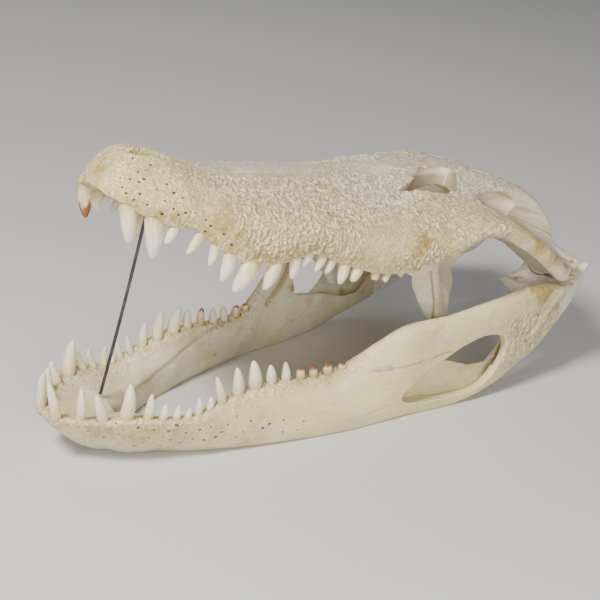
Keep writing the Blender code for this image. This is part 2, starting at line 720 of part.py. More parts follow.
def upper_teeth(side, bones, draw):
    """The teeth of one premaxilla and one maxilla; the right ones differ a little from the left."""
    sign = -1 if side == "left" else 1
    rows = {"premaxilla_": [], "maxilla_": []}
    for i, x in enumerate(UPPER_X):
        length, width, lean = UPPER_LENGTH[i], UPPER_WIDTH[i], UPPER_LEAN[i]
        if side == "right":
            length, width, lean = RIGHT_FRONT.get(i, (length, width, lean + draw.uniform(-8, 8)))
        row = along(CRANIUM, x)
        y = FRONT_Y.get(i, row[8] - 7)
        base = (x, sign * y, row[9] + 1)
        made = tooth(base, (1, -1.5 * sign, 0), lean, (6 if x < 60 else 4) * sign, length, width, -1)
        rows["premaxilla_" if x < 60 else "maxilla_"].append(made)
    for bone, teeth in rows.items():
        boolean(bones[bone + side], teeth, "UNION")


def lower_teeth(side, bones):
    """The teeth of one dentary."""
    sign = -1 if side == "left" else 1
    teeth = []
    for i, x in enumerate(LOWER_X):
        row = along(RAMUS, x) if x > 0 else RAMUS[1]
        heading = math.radians(row[2])
        bend = -7.0 if x < 60 else -3.0
        inward = (bend * math.cos(heading), bend * math.sin(heading) * sign, 0)
        splay = (0 if i == 0 else 5 if x < 60 else 2) * sign
        sunk = 2.0
        teeth.append(tooth((x, sign * row[1], row[3] - sunk), inward, LOWER_LEAN[side][i], splay,
                           LOWER_LENGTH[side][i] + sunk, LOWER_WIDTH[i], 1))
    boolean(bones["dentary_" + side], teeth, "UNION")


def opened(point):
    """Where a point of the shut cranium lies once the jaws are propped open."""
    roll, turn = math.radians(CRANIUM_ROLL), math.radians(OPENING)
    y = point[1] * math.cos(roll) + (point[2] - JOINT[1]) * math.sin(roll)
    z = (point[2] - JOINT[1]) * math.cos(roll) - point[1] * math.sin(roll)
    x = point[0] - JOINT[0]
    return Vector((JOINT[0] + x * math.cos(turn) + z * math.sin(turn) + JOINT_SLIP[0], y,
                   JOINT[1] - x * math.sin(turn) + z * math.cos(turn) + JOINT_SLIP[1]))


def open_jaws(bones):
    for obj in bones.values():
        for vert in obj.data.vertices:
            vert.co = opened(vert.co / MM) * MM


def make_rod(name):
    """The thin metal rod that props the jaws, from the chin to the palate."""
    foot, head = Vector((60, 16, 46)), opened((70, 16, 74))
    curve = bpy.data.curves.new(name, "CURVE")
    curve.dimensions = "3D"
    curve.bevel_depth = ROD_RADIUS * MM
    curve.bevel_resolution = 2
    curve.use_fill_caps = True
    spline = curve.splines.new("POLY")
    steps = 9
    spline.points.add(steps - 1)
    for i in range(steps):
        t = i / (steps - 1)
        bow = math.sin(math.pi * t) * 1.2
        place = foot.lerp(head, t) + Vector((bow, 0, 0))
        spline.points[i].co = (*(place * MM), 1.0)
    made = new_object(name, curve)
    graph = bpy.context.evaluated_depsgraph_get()
    mesh = bpy.data.meshes.new_from_object(made.evaluated_get(graph))
    drop(made)
    shape = bmesh.new()
    shape.from_mesh(mesh)
    bmesh.ops.remove_doubles(shape, verts=shape.verts, dist=0.00001)
    return finish(name, shape)


def centre_on_foot(objects):
    """Moves everything so that the middle of the box's underside is the origin."""
    places = np.array([vert.co[:] for obj in objects for vert in obj.data.vertices])
    low, high = places.min(axis=0), places.max(axis=0)
    shift = Vector(((low[0] + high[0]) / 2, (low[1] + high[1]) / 2, low[2]))
    for obj in objects:
        obj.data.transform(Matrix.Translation(-shift))
    print("moved by", [round(part / MM, 2) for part in shift], "size", [round(s / MM, 1) for s in high - low])


def main():
    clear_scene()
    bones = part_cranium(make_cranium())
    jaws = make_lower_jaw()
    draw = random.Random(7)
    for side in ("left", "right"):
        upper_teeth(side, bones, draw)
        lower_teeth(side, jaws)
    open_jaws(bones)
    bones.update(jaws)
    bones["prop_rod"] = make_rod("prop_rod")
    looks = {"table": GREY_BONE, "brow": GREY_BONE, "nasals": GREY_BONE, "dentary": TOOTH_BONE}
    for name, obj in bones.items():
        obj.name = name
        obj.data.name = name
        colour = next((tone for word, tone in looks.items() if word in name), BONE)
        obj.data.materials.clear()
        if name == "prop_rod":
            obj.data.materials.append(material(name, ROD_METAL, 0.4, 0.9))
        else:
            keep_largest(obj)
            obj.data.materials.append(material(name, colour, 0.6))
    centre_on_foot(list(bones.values()))


main()
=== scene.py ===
# %% [markdown]
# # A large alligator skull with its jaws propped open
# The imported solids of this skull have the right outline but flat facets. Here every bone is shaped again
# as a smooth, dense mesh from the same measurements, carved with the pits and ridges of real bone, parted
# at its sutures, and given worn, stained bone and ivory teeth.
# A skull is easiest to shape with its jaws shut, because the two sides then mirror each other. It is
# opened only at the very end. Lengths are in millimetres, as bones are measured, and Blender gets metres.

# %% Load the solids and note the box they fill
import math
import random
import time

import bmesh
import bpy
import numpy as np
from mathutils import Matrix, Vector, noise
from mathutils.bvhtree import BVHTree


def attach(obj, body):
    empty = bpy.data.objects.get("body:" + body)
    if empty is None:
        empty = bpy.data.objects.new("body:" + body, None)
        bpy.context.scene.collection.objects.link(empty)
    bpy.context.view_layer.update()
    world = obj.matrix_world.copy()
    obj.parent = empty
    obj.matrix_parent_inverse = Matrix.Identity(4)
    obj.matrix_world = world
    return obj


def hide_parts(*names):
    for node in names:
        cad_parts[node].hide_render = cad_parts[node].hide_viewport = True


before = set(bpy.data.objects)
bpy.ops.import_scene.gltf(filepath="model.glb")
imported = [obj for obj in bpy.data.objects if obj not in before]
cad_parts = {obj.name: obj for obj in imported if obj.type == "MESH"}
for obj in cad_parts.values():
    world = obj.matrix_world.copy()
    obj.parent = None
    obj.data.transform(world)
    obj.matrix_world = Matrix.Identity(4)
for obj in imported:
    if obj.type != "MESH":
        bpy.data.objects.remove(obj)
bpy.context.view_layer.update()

MM = 0.001
started = time.time()
draw = random.Random(11)


def deselect():
    bpy.ops.object.select_all(action="DESELECT")


def choose(obj):
    """Selects one object alone and makes it the active one."""
    deselect()
    obj.select_set(True)
    bpy.context.view_layer.objects.active = obj


def linked(obj):
    bpy.context.scene.collection.objects.link(obj)
    return obj


def copied(obj):
    """A copy of an object that has its own mesh."""
    made = obj.copy()
    made.data = obj.data.copy()
    return linked(made)


def clock(what):
    print(f"{what}: {time.time() - started:.1f} s")


deselect()

# %% [markdown]
# ## The camera, which also serves as a pencil
# The picture was taken from the animal's left, a little above the snout. The camera comes first because
# marks such as pores and stains are set by their place in the picture: a ray from the camera through
# that place meets the bone where the mark belongs. That is quicker and truer than guessing in space.

# %% Set up the camera
CAMERA_PLACE = Vector((-0.81913, -1.04498, 0.67074))
CAMERA_YAW, CAMERA_PITCH, CAMERA_ROLL = map(math.radians, (-37.785, 23.365, 2.833))
FOCAL_PIXELS = 1399.2
PICTURE = 600
SENSOR = 36.0


def camera_axes():
    """Right, up and back of the camera, as unit vectors."""
    right = Vector((math.cos(CAMERA_YAW), math.sin(CAMERA_YAW), 0))
    back = Vector((math.sin(CAMERA_YAW) * math.cos(CAMERA_PITCH),
                   -math.cos(CAMERA_YAW) * math.cos(CAMERA_PITCH), math.sin(CAMERA_PITCH)))
    up = back.cross(right)
    cos, sin = math.cos(CAMERA_ROLL), math.sin(CAMERA_ROLL)
    return cos * right + sin * up, cos * up - sin * right, back


RIGHT, UP, BACK = camera_axes()
deselect()
bpy.ops.object.camera_add()
camera = bpy.context.object
camera.matrix_world = Matrix.LocRotScale(CAMERA_PLACE, Matrix((RIGHT, UP, BACK)).transposed(), None)
camera.data.sensor_width = SENSOR
camera.data.lens = SENSOR * FOCAL_PIXELS / PICTURE
bpy.context.scene.camera = camera
print("lens", round(camera.data.lens, 1), "mm")

# %% [markdown]
# ## From shut to open
# The cranium turns up about the jaw joint, slides a little in its socket, and sits with a slight roll.
# One matrix says all of that. Its inverse takes the camera's rays back to the shut skull.

# %% The two placing matrices
JOINT = Vector((534, 0, 120))
OPENING = math.radians(21.0)
CRANIUM_ROLL = math.radians(2.0)
JOINT_SLIP = Vector((30, 0, -5.6))
CENTRE = Vector((294.26, 0.40, 1.2))

jaw_place = Matrix.Translation(-CENTRE * MM)
turned = Matrix.Rotation(OPENING, 4, "Y") @ Matrix.Rotation(-CRANIUM_ROLL, 4, "X")
cranium_place = (jaw_place @ Matrix.Translation((JOINT + JOINT_SLIP) * MM) @ turned
                 @ Matrix.Translation(-JOINT * MM))


def marked(tree, place, px, py):
    """Where the picture's point falls on a shut bone, in millimetres, with the surface's normal."""
    ray = (RIGHT * (px - PICTURE / 2) - UP * (py - PICTURE / 2) - BACK * FOCAL_PIXELS).normalized()
    back = place.inverted()
    start = back @ CAMERA_PLACE
    hit, normal, _, _ = tree.ray_cast(start, (back.to_3x3() @ ray).normalized())
    return (None, None) if hit is None else (hit / MM, normal)


print("jaws open by", round(math.degrees(OPENING)), "degrees")

# %% [markdown]
# ## Helpers for smooth solids
# A skull bone is a tube whose section changes along its length, so most of it is lofted: rings of points
# joined by faces. The rings come from short tables of measured stations, read through smooth curves.
# Round knobs and holes are spheres, pressed out to size. Solids are then joined and cut by Booleans.

# %% Curves through measurements
def along(rows, x):
    """One smooth row between the stations of a table, read at x in its first column."""
    stations = rows[:, 0]
    slopes = np.gradient(rows, stations, axis=0)
    i = int(np.clip(np.searchsorted(stations, x) - 1, 0, len(stations) - 2))
    span = stations[i + 1] - stations[i]
    t = (x - stations[i]) / span
    ends = (2 * t**3 - 3 * t**2 + 1) * rows[i] + (3 * t**2 - 2 * t**3) * rows[i + 1]
    bends = (t**3 - 2 * t**2 + t) * slopes[i] + (t**3 - t**2) * slopes[i + 1]
    return ends + bends * span


def closed_curve(points, steps):
    """A smooth closed line through a few points, with the given steps between each two."""
    points = np.array(points, float)
    before, after = np.roll(points, 1, axis=0), np.roll(points, -1, axis=0)
    later = np.roll(points, -2, axis=0)
    t = (np.arange(steps) / steps)[None, :, None]
    p0, p1, p2, p3 = (part[:, None, :] for part in (before, points, after, later))
    found = 0.5 * (2 * p1 + (p2 - p0) * t + (2 * p0 - 5 * p1 + 4 * p2 - p3) * t**2
                   + (3 * p1 - p0 - 3 * p2 + p3) * t**3)
    return found.reshape(-1, points.shape[1])


print("halfway round a square:", closed_curve([(0, 0), (1, 0), (1, 1), (0, 1)], 2)[1])

# %% Solids from rings, outlines and spheres
def loft(name, rings):
    """A closed solid through rings of equally many points, given in millimetres."""
    count = len(rings[0])
    last = (len(rings) - 1) * count
    faces = [(ring + i, ring + (i + 1) % count, ring + count + (i + 1) % count, ring + count + i)
             for ring in range(0, last, count) for i in range(count)]
    faces += [tuple(range(count)), tuple(range(last, last + count))]
    mesh = bpy.data.meshes.new(name)
    mesh.from_pydata((np.concatenate(rings) * MM).tolist(), [], faces)
    shape = bmesh.new()
    shape.from_mesh(mesh)
    bmesh.ops.triangulate(shape, faces=shape.faces[-2:])
    bmesh.ops.recalc_face_normals(shape, faces=shape.faces)
    shape.to_mesh(mesh)
    shape.free()
    return linked(bpy.data.objects.new(name, mesh))


def slab(name, sections, steps=8):
    """A loft through four-cornered sections across x: each is x and four (y, z) corners."""
    return loft(name, [[(x, y, z) for y, z in closed_curve(corners, steps)] for x, corners in sections])


def prism(name, outline, low, high):
    """An upright block over a plan outline, whose floor and roof may be functions of x."""
    levels = [level if callable(level) else (lambda x, fixed=level: fixed) for level in (low, high)]
    return loft(name, [[(x, y, level(x)) for x, y in outline] for level in levels])


def oval(centre, radii, turn=0.0, sides=48):
    """Plan outline of an ellipse, turned about its centre."""
    angles = np.linspace(0, 2 * math.pi, sides, endpoint=False)
    x, y = radii[0] * np.cos(angles), radii[1] * np.sin(angles)
    bend = math.radians(turn)
    return np.stack([centre[0] + x * math.cos(bend) - y * math.sin(bend),
                     centre[1] + x * math.sin(bend) + y * math.cos(bend)], 1)


def ball(centre, radii, turn=0.0, sides=32):
    """A sphere pressed to three radii, tilted about x by turn degrees."""
    deselect()
    bpy.ops.mesh.primitive_uv_sphere_add(segments=sides, ring_count=sides // 2, radius=1,
                                         location=Vector(centre) * MM, scale=Vector(radii) * MM,
                                         rotation=(math.radians(turn), 0, 0))
    bpy.ops.object.transform_apply(location=True, rotation=True, scale=True)
    return bpy.context.object


def mirrored(obj):
    """A copy of a solid on the other side of the midline, with its faces turned out again."""
    made = copied(obj)
    made.data.transform(Matrix.Diagonal((1, -1, 1, 1)))
    made.data.flip_normals()
    return made


def both(obj):
    return [obj, mirrored(obj)]


def drop(*objects):
    for obj in objects:
        mesh = obj.data
        bpy.data.objects.remove(obj, do_unlink=True)
        bpy.data.meshes.remove(mesh)


print("helpers ready")

# %% Modifiers, applied at once
def applied(obj, kind, **settings):
    """Adds one modifier with its settings and applies it."""
    step = obj.modifiers.new(kind.lower(), kind)
    for name, value in settings.items():
        setattr(step, name, value)
    choose(obj)
    bpy.ops.object.modifier_apply(modifier=step.name)
    return obj


def boolean(target, others, operation):
    """Joins or cuts closed solids, then removes the others."""
    group = bpy.data.collections.new("others")
    bpy.context.scene.collection.children.link(group)
    for other in others:
        group.objects.link(other)
    applied(target, "BOOLEAN", operation=operation, solver="MANIFOLD", operand_type="COLLECTION",
            collection=group)
    drop(*others)
    bpy.data.collections.remove(group)
    return target


def remeshed(obj, voxel, rounds):
    """Melts joined solids into one even skin, and relaxes it so that edges look grown and not cut."""
    obj.data.remesh_voxel_size = voxel * MM
    choose(obj)
    bpy.ops.object.voxel_remesh()
    return applied(obj, "SMOOTH", factor=0.5, iterations=rounds)


VOXEL = 1.25
print("voxels of", VOXEL, "mm")

# %% [markdown]
# ## The outer shell of the cranium
# From snout tip to jaw joint the skull is one long vault: broad flat snout, a waist behind the nostrils,
# a swelling over the big tooth, then the cheeks. Each station gives the roof ridge, the slope below it,
# the widest bulge, the lower margin and the inner vault, and the loft runs through them all.

# %% The cranium's stations and shell
# Each row: x, height on the midline, then y and z of the roof ridge, the slope below it, the widest
# bulge, the lower margin, the inner vault, and the vault height on the midline.
CRANIUM = np.array([
    (-5, 84, 6, 83, 9, 80, 10, 77, 9, 75, 5, 75, 76),
    (-1, 96, 12, 93, 19, 85, 22, 77, 20, 72, 12, 73, 75),
    (5, 106, 19, 99, 29, 90, 33, 79, 31, 71, 19, 70, 75),
    (14, 113, 27, 105, 40, 94, 46, 80, 43, 68, 29, 70, 76),
    (32, 118, 36, 109, 50, 96, 58, 82, 55, 65, 40, 71, 79),
    (52, 118, 40, 110, 57, 98, 66, 82, 64, 64, 48, 73, 81),
    (66, 117, 41, 109, 59, 97, 70, 82, 68, 66, 52, 75, 82),
    (88, 117, 45, 108, 68, 99, 82, 83, 81, 58, 60, 72, 83),
    (127, 121, 52, 110, 80, 100, 97, 83, 95, 51, 68, 71, 84),
    (150, 126, 56, 114, 84, 103, 100, 88, 98, 58, 72, 75, 84),
    (180, 132, 58, 119, 87, 107, 104, 93, 102, 73, 76, 83, 86),
    (220, 140, 60, 126, 91, 113, 110, 96, 108, 71, 82, 83, 88),
    (260, 149, 60, 136, 97, 121, 118, 102, 115, 72, 88, 87, 94),
    (300, 159, 55, 149, 98, 132, 125, 112, 122, 83, 98, 99, 122),
    (330, 168, 44, 164, 97, 144, 131, 124, 129, 103, 104, 118, 144),
    (360, 176, 42, 172, 97, 156, 137, 142, 135, 129, 106, 138, 154),
    (385, 183, 52, 178, 95, 163, 140, 147, 138, 134, 104, 144, 166),
    (420, 188, 74, 184, 93, 160, 141, 144, 140, 129, 101, 141, 176),
    (455, 188, 82, 184, 94, 154, 141, 136, 139, 120, 101, 136, 175),
    (480, 186, 84, 176, 93, 150, 140, 127, 137, 112, 100, 132, 173),
    (505, 184, 84, 160, 91, 147, 135, 122, 131, 107, 98, 129, 170),
    (522, 177, 80, 148, 86, 143, 128, 122, 126, 111, 94, 127, 166),
], float)


def cranium_ring(row):
    """The section of the skull at one station, round from the roof to the palate and back."""
    x, mid, *pairs, inner = row
    ridge, slope, bulge, edge, vault = zip(pairs[::2], pairs[1::2])
    shelf = min(13.0, 0.45 * edge[0])
    half = [ridge, slope, bulge, edge, (edge[0] - shelf, edge[1] + 2), (vault[0] - 4, vault[1])]
    ring = [(0, mid)] + half + [(0, inner)] + [(-y, z) for y, z in half[::-1]]
    return np.array([(x, y, z) for y, z in closed_curve(ring, 10)])


def make_shell():
    places = np.concatenate([[-5, -4.4, -3.5, -2.4, -1, 1, 3], np.arange(5, 520, 3.0), [519, 522]])
    return loft("cranium", [cranium_ring(along(CRANIUM, x)) for x in places])


cranium = make_shell()
clock(f"shell of {len(cranium.data.polygons)} faces")

# %% [markdown]
# ## What hangs inside the vault
# Behind the eyes sits the braincase, from which a strut on each side, the quadrate, runs down and out to
# the jaw joint. Below lie the palate bar, the winged pterygoids and a strut from each cheek. These are
# simple lofts; the voxel skin later melts their joints together as real sutured bone does.

# %% Braincase, quadrates and jaw knobs
def keel(name, rows):
    """A slab on the midline. Each row: x, then half width and height, of its upper and its lower side."""
    return slab(name, [(x, [(-upper, high), (upper, high), (lower, low), (-lower, low)])
                       for x, upper, high, lower, low in rows])


BRAINCASE = ((372, 9, 172, 7, 140), (395, 17, 177, 13, 116), (430, 26, 181, 22, 102), (460, 40, 180, 26, 100),
             (480, 48, 177, 22, 106))
NECK_KNOB = ((485, 0, 140), (12, 11, 9))
QUADRATE = (
    (420, [(12, 176), (34, 176), (40, 132), (12, 126)]),
    (450, [(18, 174), (70, 162), (66, 142), (20, 127)]),
    (478, [(34, 166), (104, 140), (100, 124), (44, 128)]),
    (500, [(66, 148), (124, 132), (124, 110), (74, 112)]),
    (522, [(80, 134), (126, 133), (126, 114), (80, 110)]),
)
JAW_KNOBS = (((516, 86, 116), (13, 15, 14)), ((515, 112, 119), (12, 17, 12)))
inner_solids = [keel("braincase", BRAINCASE), ball(*NECK_KNOB)] + both(slab("quadrate", QUADRATE))
for knob in JAW_KNOBS:
    inner_solids += both(ball(*knob))
print(len(inner_solids), "solids of the braincase and jaw joints")

# %% Palate bar, pterygoid wings and cheek struts
PALATE_BAR = ((190, 28, 98, 24, 79), (230, 24, 100, 20, 77), (280, 18, 102, 15, 78), (330, 18, 104, 16, 78),
              (362, 24, 106, 20, 82))
PTERYGOID_CORE = ((335, 22, 100, 20, 80), (375, 30, 108, 26, 78), (415, 28, 120, 24, 80),
                  (452, 26, 126, 20, 92))
# Each row: distance out, front x and z, back x and z, thickness
WING = ((8, 345, 92, 450, 108, 16), (30, 348, 88, 454, 96, 11), (44, 350, 85, 426, 83, 10),
        (56, 351, 82, 424, 70, 9), (74, 354, 78, 407, 54, 9), (86, 358, 74, 402, 28, 8))
# Each row: height, front x, back x, distance out, thickness
CHEEK_STRUT = ((116, 296, 336, 112, 12), (98, 298, 336, 108, 13), (82, 308, 348, 102, 13),
               (62, 325, 368, 95, 12), (42, 351, 386, 90, 11), (26, 374, 396, 87, 10), (17, 384, 398, 86, 7))


def leaf(front, back, thick):
    """The section of a thin plate of bone, between its front and its back edge."""
    middle, centre = (front[0] + back[0]) / 2, (front[1] + back[1]) / 2
    return closed_curve([front, (middle, centre + thick / 2), back, (middle, centre - thick / 2)], 8)


def make_wing():
    return loft("wing", [[(x, y, z) for x, z in leaf((front, front_z), (back, back_z), thick)]
                         for y, front, front_z, back, back_z, thick in WING])


def make_cheek_strut():
    return loft("cheek_strut", [[(x, out, z) for x, out in leaf((front, y), (back, y), thick)]
                                for z, front, back, y, thick in CHEEK_STRUT])


inner_solids += [keel("palatines", PALATE_BAR), keel("core", PTERYGOID_CORE)]
inner_solids += both(make_wing()) + both(make_cheek_strut())
print(len(inner_solids), "solids inside the vault")

# %% [markdown]
# ## The openings
# Nostrils, eye sockets, cheek windows, the two windows in the skull table, and the holes of the palate
# are all cut from the shell before the inner bones go in, so that those bones show through them.

# %% Cut the openings
ORBIT = [(301, 59), (316, 67), (332, 72), (348, 77), (361, 77), (371, 65), (387, 41), (382, 28), (366, 25),
         (351, 27), (336, 38), (318, 53)]
CHEEK_WINDOW = [(381, 86), (395, 83), (420, 86), (428, 93), (408, 108), (388, 112), (378, 103)]


def cranium_openings():
    cuts = []
    for side in (1, -1):
        cuts.append(ball((38, side * 11, 121), (24, 8.5, 22)))
        cuts.append(prism("orbit", closed_curve(ORBIT, 8) * (1, side), 60, 260))
        cuts.append(prism("cheek_window", closed_curve(CHEEK_WINDOW, 8) * (1, side), 100, 260))
        cuts.append(ball((448, side * 91, 163), (34, 4, 4)))
        cuts.append(ball((412, side * 88, 166), (28, 11, 11)))
        cuts.append(prism("table_window", oval((432, side * 35), (18, 12), side * 10), 150, 260))
        cuts.append(prism("palate_window", oval((262, side * 50), (62, 24), side * 10), 30, 122))
        cuts.append(ball((318, side * 56, 114), (60, 27, 27)))
    cuts.append(ball((26, 0, 70), (10, 6, 16)))
    cuts.append(ball((404, 0, 76), (12, 13, 14)))
    cuts.append(ball((486, 0, 157), (16, 10, 8)))
    nape = [(489, -56), (486, -20), (486, 20), (489, 56), (500, 72), (513, 77), (516, 85), (517, 98),
            (560, 98), (560, -98), (517, -98), (516, -85), (513, -77), (500, -72)]
    cuts.append(prism("nape", nape, 60, 260))
    return cuts


boolean(cranium, cranium_openings(), "DIFFERENCE")
clock("openings cut")

# %% [markdown]
# ## Where each tooth stands
# Nearly the same cone repeats seventy times, so a tooth is only a few numbers: place along the jaw, crown
# length and width, and lean. Teeth are set into real sockets. Round each socket the bone swells into a
# collar, which is joined on now so that the voxel skin blends it into the jaw.

# %% Tooth tables
UPPER_X = (12, 34, 54, 76, 89, 104, 125, 149, 167, 181, 196, 208, 222, 238, 257, 271, 285, 296)
UPPER_LENGTH = (35, 37, 20, 23, 21, 27, 33, 30, 24, 17, 19, 18, 22, 18, 14, 16, 9, 9)
UPPER_WIDTH = (15, 17, 10, 9, 9, 13, 17, 14, 11, 9, 9, 8, 11, 11, 9, 8, 7, 6)
UPPER_LEAN = (-20, -15, 23, 28, 2, 6, 24, 11, -7, 14, 14, 18, 0, 16, -8, 10, -8, -8)
FRONT_Y = {0: 36, 1: 49, 2: 57}
RIGHT_FRONT = {0: (33, 14, -23), 1: (21, 12, -22)}
LOST = ((1, 8, 76), (5, 21, 73))
LOWER_X = (-3, 13, 29, 47, 66, 80, 93, 104, 115, 127, 141, 159, 178, 196, 213, 230, 245, 261, 276)
LOWER_WIDTH = (10, 9, 10, 13, 9, 8, 7, 7, 7, 7, 9, 11, 13, 10, 9, 9, 9, 10, 9)
LOWER_LENGTH = {
    "left": (38, 33, 30, 35, 24, 15, 14, 9, 18, 12, 29, 28, 28, 19, 20, 15, 15, 15, 7),
    "right": (33, 26, 23, 32, 20, 20, 18, 5, 18, 19, 23, 28, 25, 18, 18, 16, 15, 13, 7),
}
LOWER_LEAN = {
    "left": (10, 0, 15, -6, -11, -15, -12, -15, -2, -7, 14, 5, 6, 3, 4, 6, 10, 12, -6),
    "right": (-6, -3, 10, -12, 20, 16, -8, 0, 12, 11, -9, -12, -20, -3, -7, 0, 3, -12, 0),
}
# How far up each crown wear and tannin have coloured it, by side and number from the front
UPPER_STAIN = {"left": {11: 0.35, 13: 0.3, 14: 0.75, 15: 0.85, 16: 1.0, 17: 0.9},
               "right": {0: 1.35, 15: 0.7, 16: 0.9}}
LOWER_STAIN = {"left": {15: 0.9, 16: 0.95, 17: 1.0, 18: 1.0}, "right": {14: 0.8, 17: 0.9, 18: 1.0}}
ROOT_DEPTH = 12.0
print(2 * len(UPPER_X), "upper and", 2 * len(LOWER_X), "lower teeth,", 2 * len(LOST), "lost")

# %% [markdown]
# ## The lower jaw's stations
# One half of the lower jaw is a deep curved board that starts at the chin and ends behind the joint. Each
# station gives the place of its top edge, the way the section faces, and its thickness in and out. The
# left half is the right one mirrored, and gets its own teeth, wear and marks.

# %% Stations of one half
# Each row: x and y of the top edge, heading of the section (degrees from +x), height of the top, height
# and outward shift of the underside, half thickness at the top, thickness outwards and inwards.
RAMUS = np.array([
    (-3, 0.0, 180, 52, 0, -50, 6, 6, 66),
    (0, 15, 170, 53, 0, -50, 6, 6, 63),
    (13, 31, 154, 54, 0, -49, 6, 6, 58),
    (29, 45, 134, 55, 0, -43, 6, 6, 54),
    (47, 55, 114, 57, 0, -38, 8, 7, 50),
    (66, 61, 103, 54, 0, -35, 7, 8, 46),
    (90, 67, 99, 49, 0, -31, 7, 9, 40),
    (115, 72, 96, 49, 0, -21, 7, 11, 30),
    (141, 73, 95, 56, 0, -10, 7, 13, 20),
    (178, 74, 96, 63, 0, 3, 8, 15, 14),
    (213, 76, 98, 61, 0, 11, 8, 16, 13),
    (245, 79, 100, 58, 0, 16, 8, 16, 13),
    (278, 85, 100, 62, 0, 17, 7, 14, 13),
    (310, 97, 99, 83, 0, 8, 6, 12, 15),
    (340, 106, 98, 98, 0, 1, 7, 11, 18),
    (385, 114, 97, 103, 1, 0, 7, 9, 18),
    (425, 120, 96, 108, 8, 0, 8, 9, 18),
    (460, 124, 93, 112, 17, -4, 8, 9, 17),
    (490, 125, 90, 114, 28, -8, 9, 9, 17),
    (516, 123, 84, 113, 37, -8, 10, 9, 18),
    (545, 117, 78, 108, 57, -5, 10, 8, 17),
    (572, 111, 74, 110, 79, -3, 8, 7, 13),
    (598, 105, 72, 118, 108, -2, 3, 3, 4),
], float)


def ramus_ring(row):
    """The section of one half of the lower jaw."""
    x, y, heading, top, under, shift, crest, outer, inner = row
    turn = math.radians(heading)
    deep = top - under
    flare = max(shift, 0.0)
    points = [(crest, top - 1.5), (shift * 0.2 + outer, under + 0.66 * deep),
              (shift * 0.6 + outer, under + 0.28 * deep), (shift + min(3, outer), under),
              (shift - min(8, inner), under), (flare * 0.75 - inner, under + 0.26 * deep),
              (flare * 0.35 - inner, under + 0.62 * deep), (-crest, top - 2)]
    return np.array([(x + math.cos(turn) * across, y + math.sin(turn) * across, z)
                     for across, z in closed_curve(points, 12)])


def make_ramus():
    numbered = np.column_stack([np.arange(len(RAMUS)), RAMUS])
    rings = [ramus_ring(along(numbered, place)[1:]) for place in np.linspace(0, len(RAMUS) - 1, 220)]
    rings[0][:, 1] = -0.6
    return loft("ramus", rings)


half_jaw = make_ramus()
print("half jaw of", len(half_jaw.data.polygons), "faces")

# %% [markdown]
# ## Tooth axes, collars and sockets
# Every tooth gets one record with its base, axis, root and size. The collars, the sockets and later the
# teeth themselves all read that record, so that a tooth can't miss its hole.

# %% Work out each tooth's place
SIDES = {"left": -1, "right": 1}
FRONT_END = 60


def tooth_record(base, inward, lean, splay, length, width, rise, stain):
    axis = Vector((-math.sin(math.radians(lean)), math.sin(math.radians(splay)), rise)).normalized()
    root = (Vector((0, 0, -rise)) * ROOT_DEPTH + Vector(inward))
    return dict(base=Vector(base), axis=axis, root=root, length=length, width=width, stain=stain)


def upper_tooth_row(side):
    """The teeth of one side of the upper jaw; the right ones differ a little from the left."""
    sign = SIDES[side]
    found = []
    for i, x in enumerate(UPPER_X):
        length, width, lean = UPPER_LENGTH[i], UPPER_WIDTH[i], UPPER_LEAN[i]
        if side == "right":
            length, width, lean = RIGHT_FRONT.get(i, (length, width, lean + draw.uniform(-8, 8)))
        row = along(CRANIUM, x)
        base = (x, sign * FRONT_Y.get(i, row[8] - 7), row[9] + 1)
        splay = (6 if x < FRONT_END else 4) * sign
        found.append(tooth_record(base, (1, -1.5 * sign, 0), lean, splay, length, width, -1,
                                  UPPER_STAIN[side].get(i, 0.0)))
    return found


def lower_tooth_row(side):
    sign = SIDES[side]
    found = []
    for i, x in enumerate(LOWER_X):
        row = along(RAMUS, x) if x > 0 else RAMUS[1]
        heading = math.radians(row[2])
        bend = -7.0 if x < FRONT_END else -3.0
        inward = (bend * math.cos(heading), bend * math.sin(heading) * sign, 0)
        splay = (0 if i == 0 else 5 if x < FRONT_END else 2) * sign
        found.append(tooth_record((x, sign * row[1], row[3] - 2), inward, LOWER_LEAN[side][i], splay,
                                  LOWER_LENGTH[side][i] + 2, LOWER_WIDTH[i], 1,
                                  LOWER_STAIN[side].get(i, 0.0)))
    return found


teeth = {("upper", side): upper_tooth_row(side) for side in SIDES}
teeth.update({("lower", side): lower_tooth_row(side) for side in SIDES})
lost = {side: [tooth_record((x, y * sign, z), (2, -1 * sign, 0), -10, 0, 10, 8, -1, 0.0) for x, y, z in LOST]
        for side, sign in SIDES.items()}
print("longest crown", max(t["length"] for row in teeth.values() for t in row), "mm")

# %% Collars and sockets
COLLAR = 2.2
COLLAR_DEPTH = 11
SOCKET_GAP = 0.7
SOCKET_DEPTH = 8.5


def stub(tooth, start, stop, grow_start, grow_stop, sides=24):
    """A round peg about a tooth's root, between two depths, counted from the base towards the root."""
    down = tooth["root"].normalized()
    across = down.cross(Vector((0, 1, 0))).normalized()
    side = down.cross(across)
    rings = []
    for depth, grow in ((start, grow_start), (stop, grow_stop)):
        line = down if depth > 0 else -tooth["axis"]
        centre = tooth["base"] + line * depth
        radius = tooth["width"] / 2 + grow
        rings.append([centre + (across * math.cos(a) + side * 0.92 * math.sin(a)) * radius
                      for a in np.linspace(0, 2 * math.pi, sides, endpoint=False)])
    return loft("stub", rings)


def collar(tooth):
    return stub(tooth, 0.6, COLLAR_DEPTH, COLLAR - 0.4, 0.5)


def socket(tooth):
    return stub(tooth, -7, SOCKET_DEPTH, SOCKET_GAP + 1.0, SOCKET_GAP - 1.4)


print("a socket is", SOCKET_GAP, "mm wider than its tooth all round")

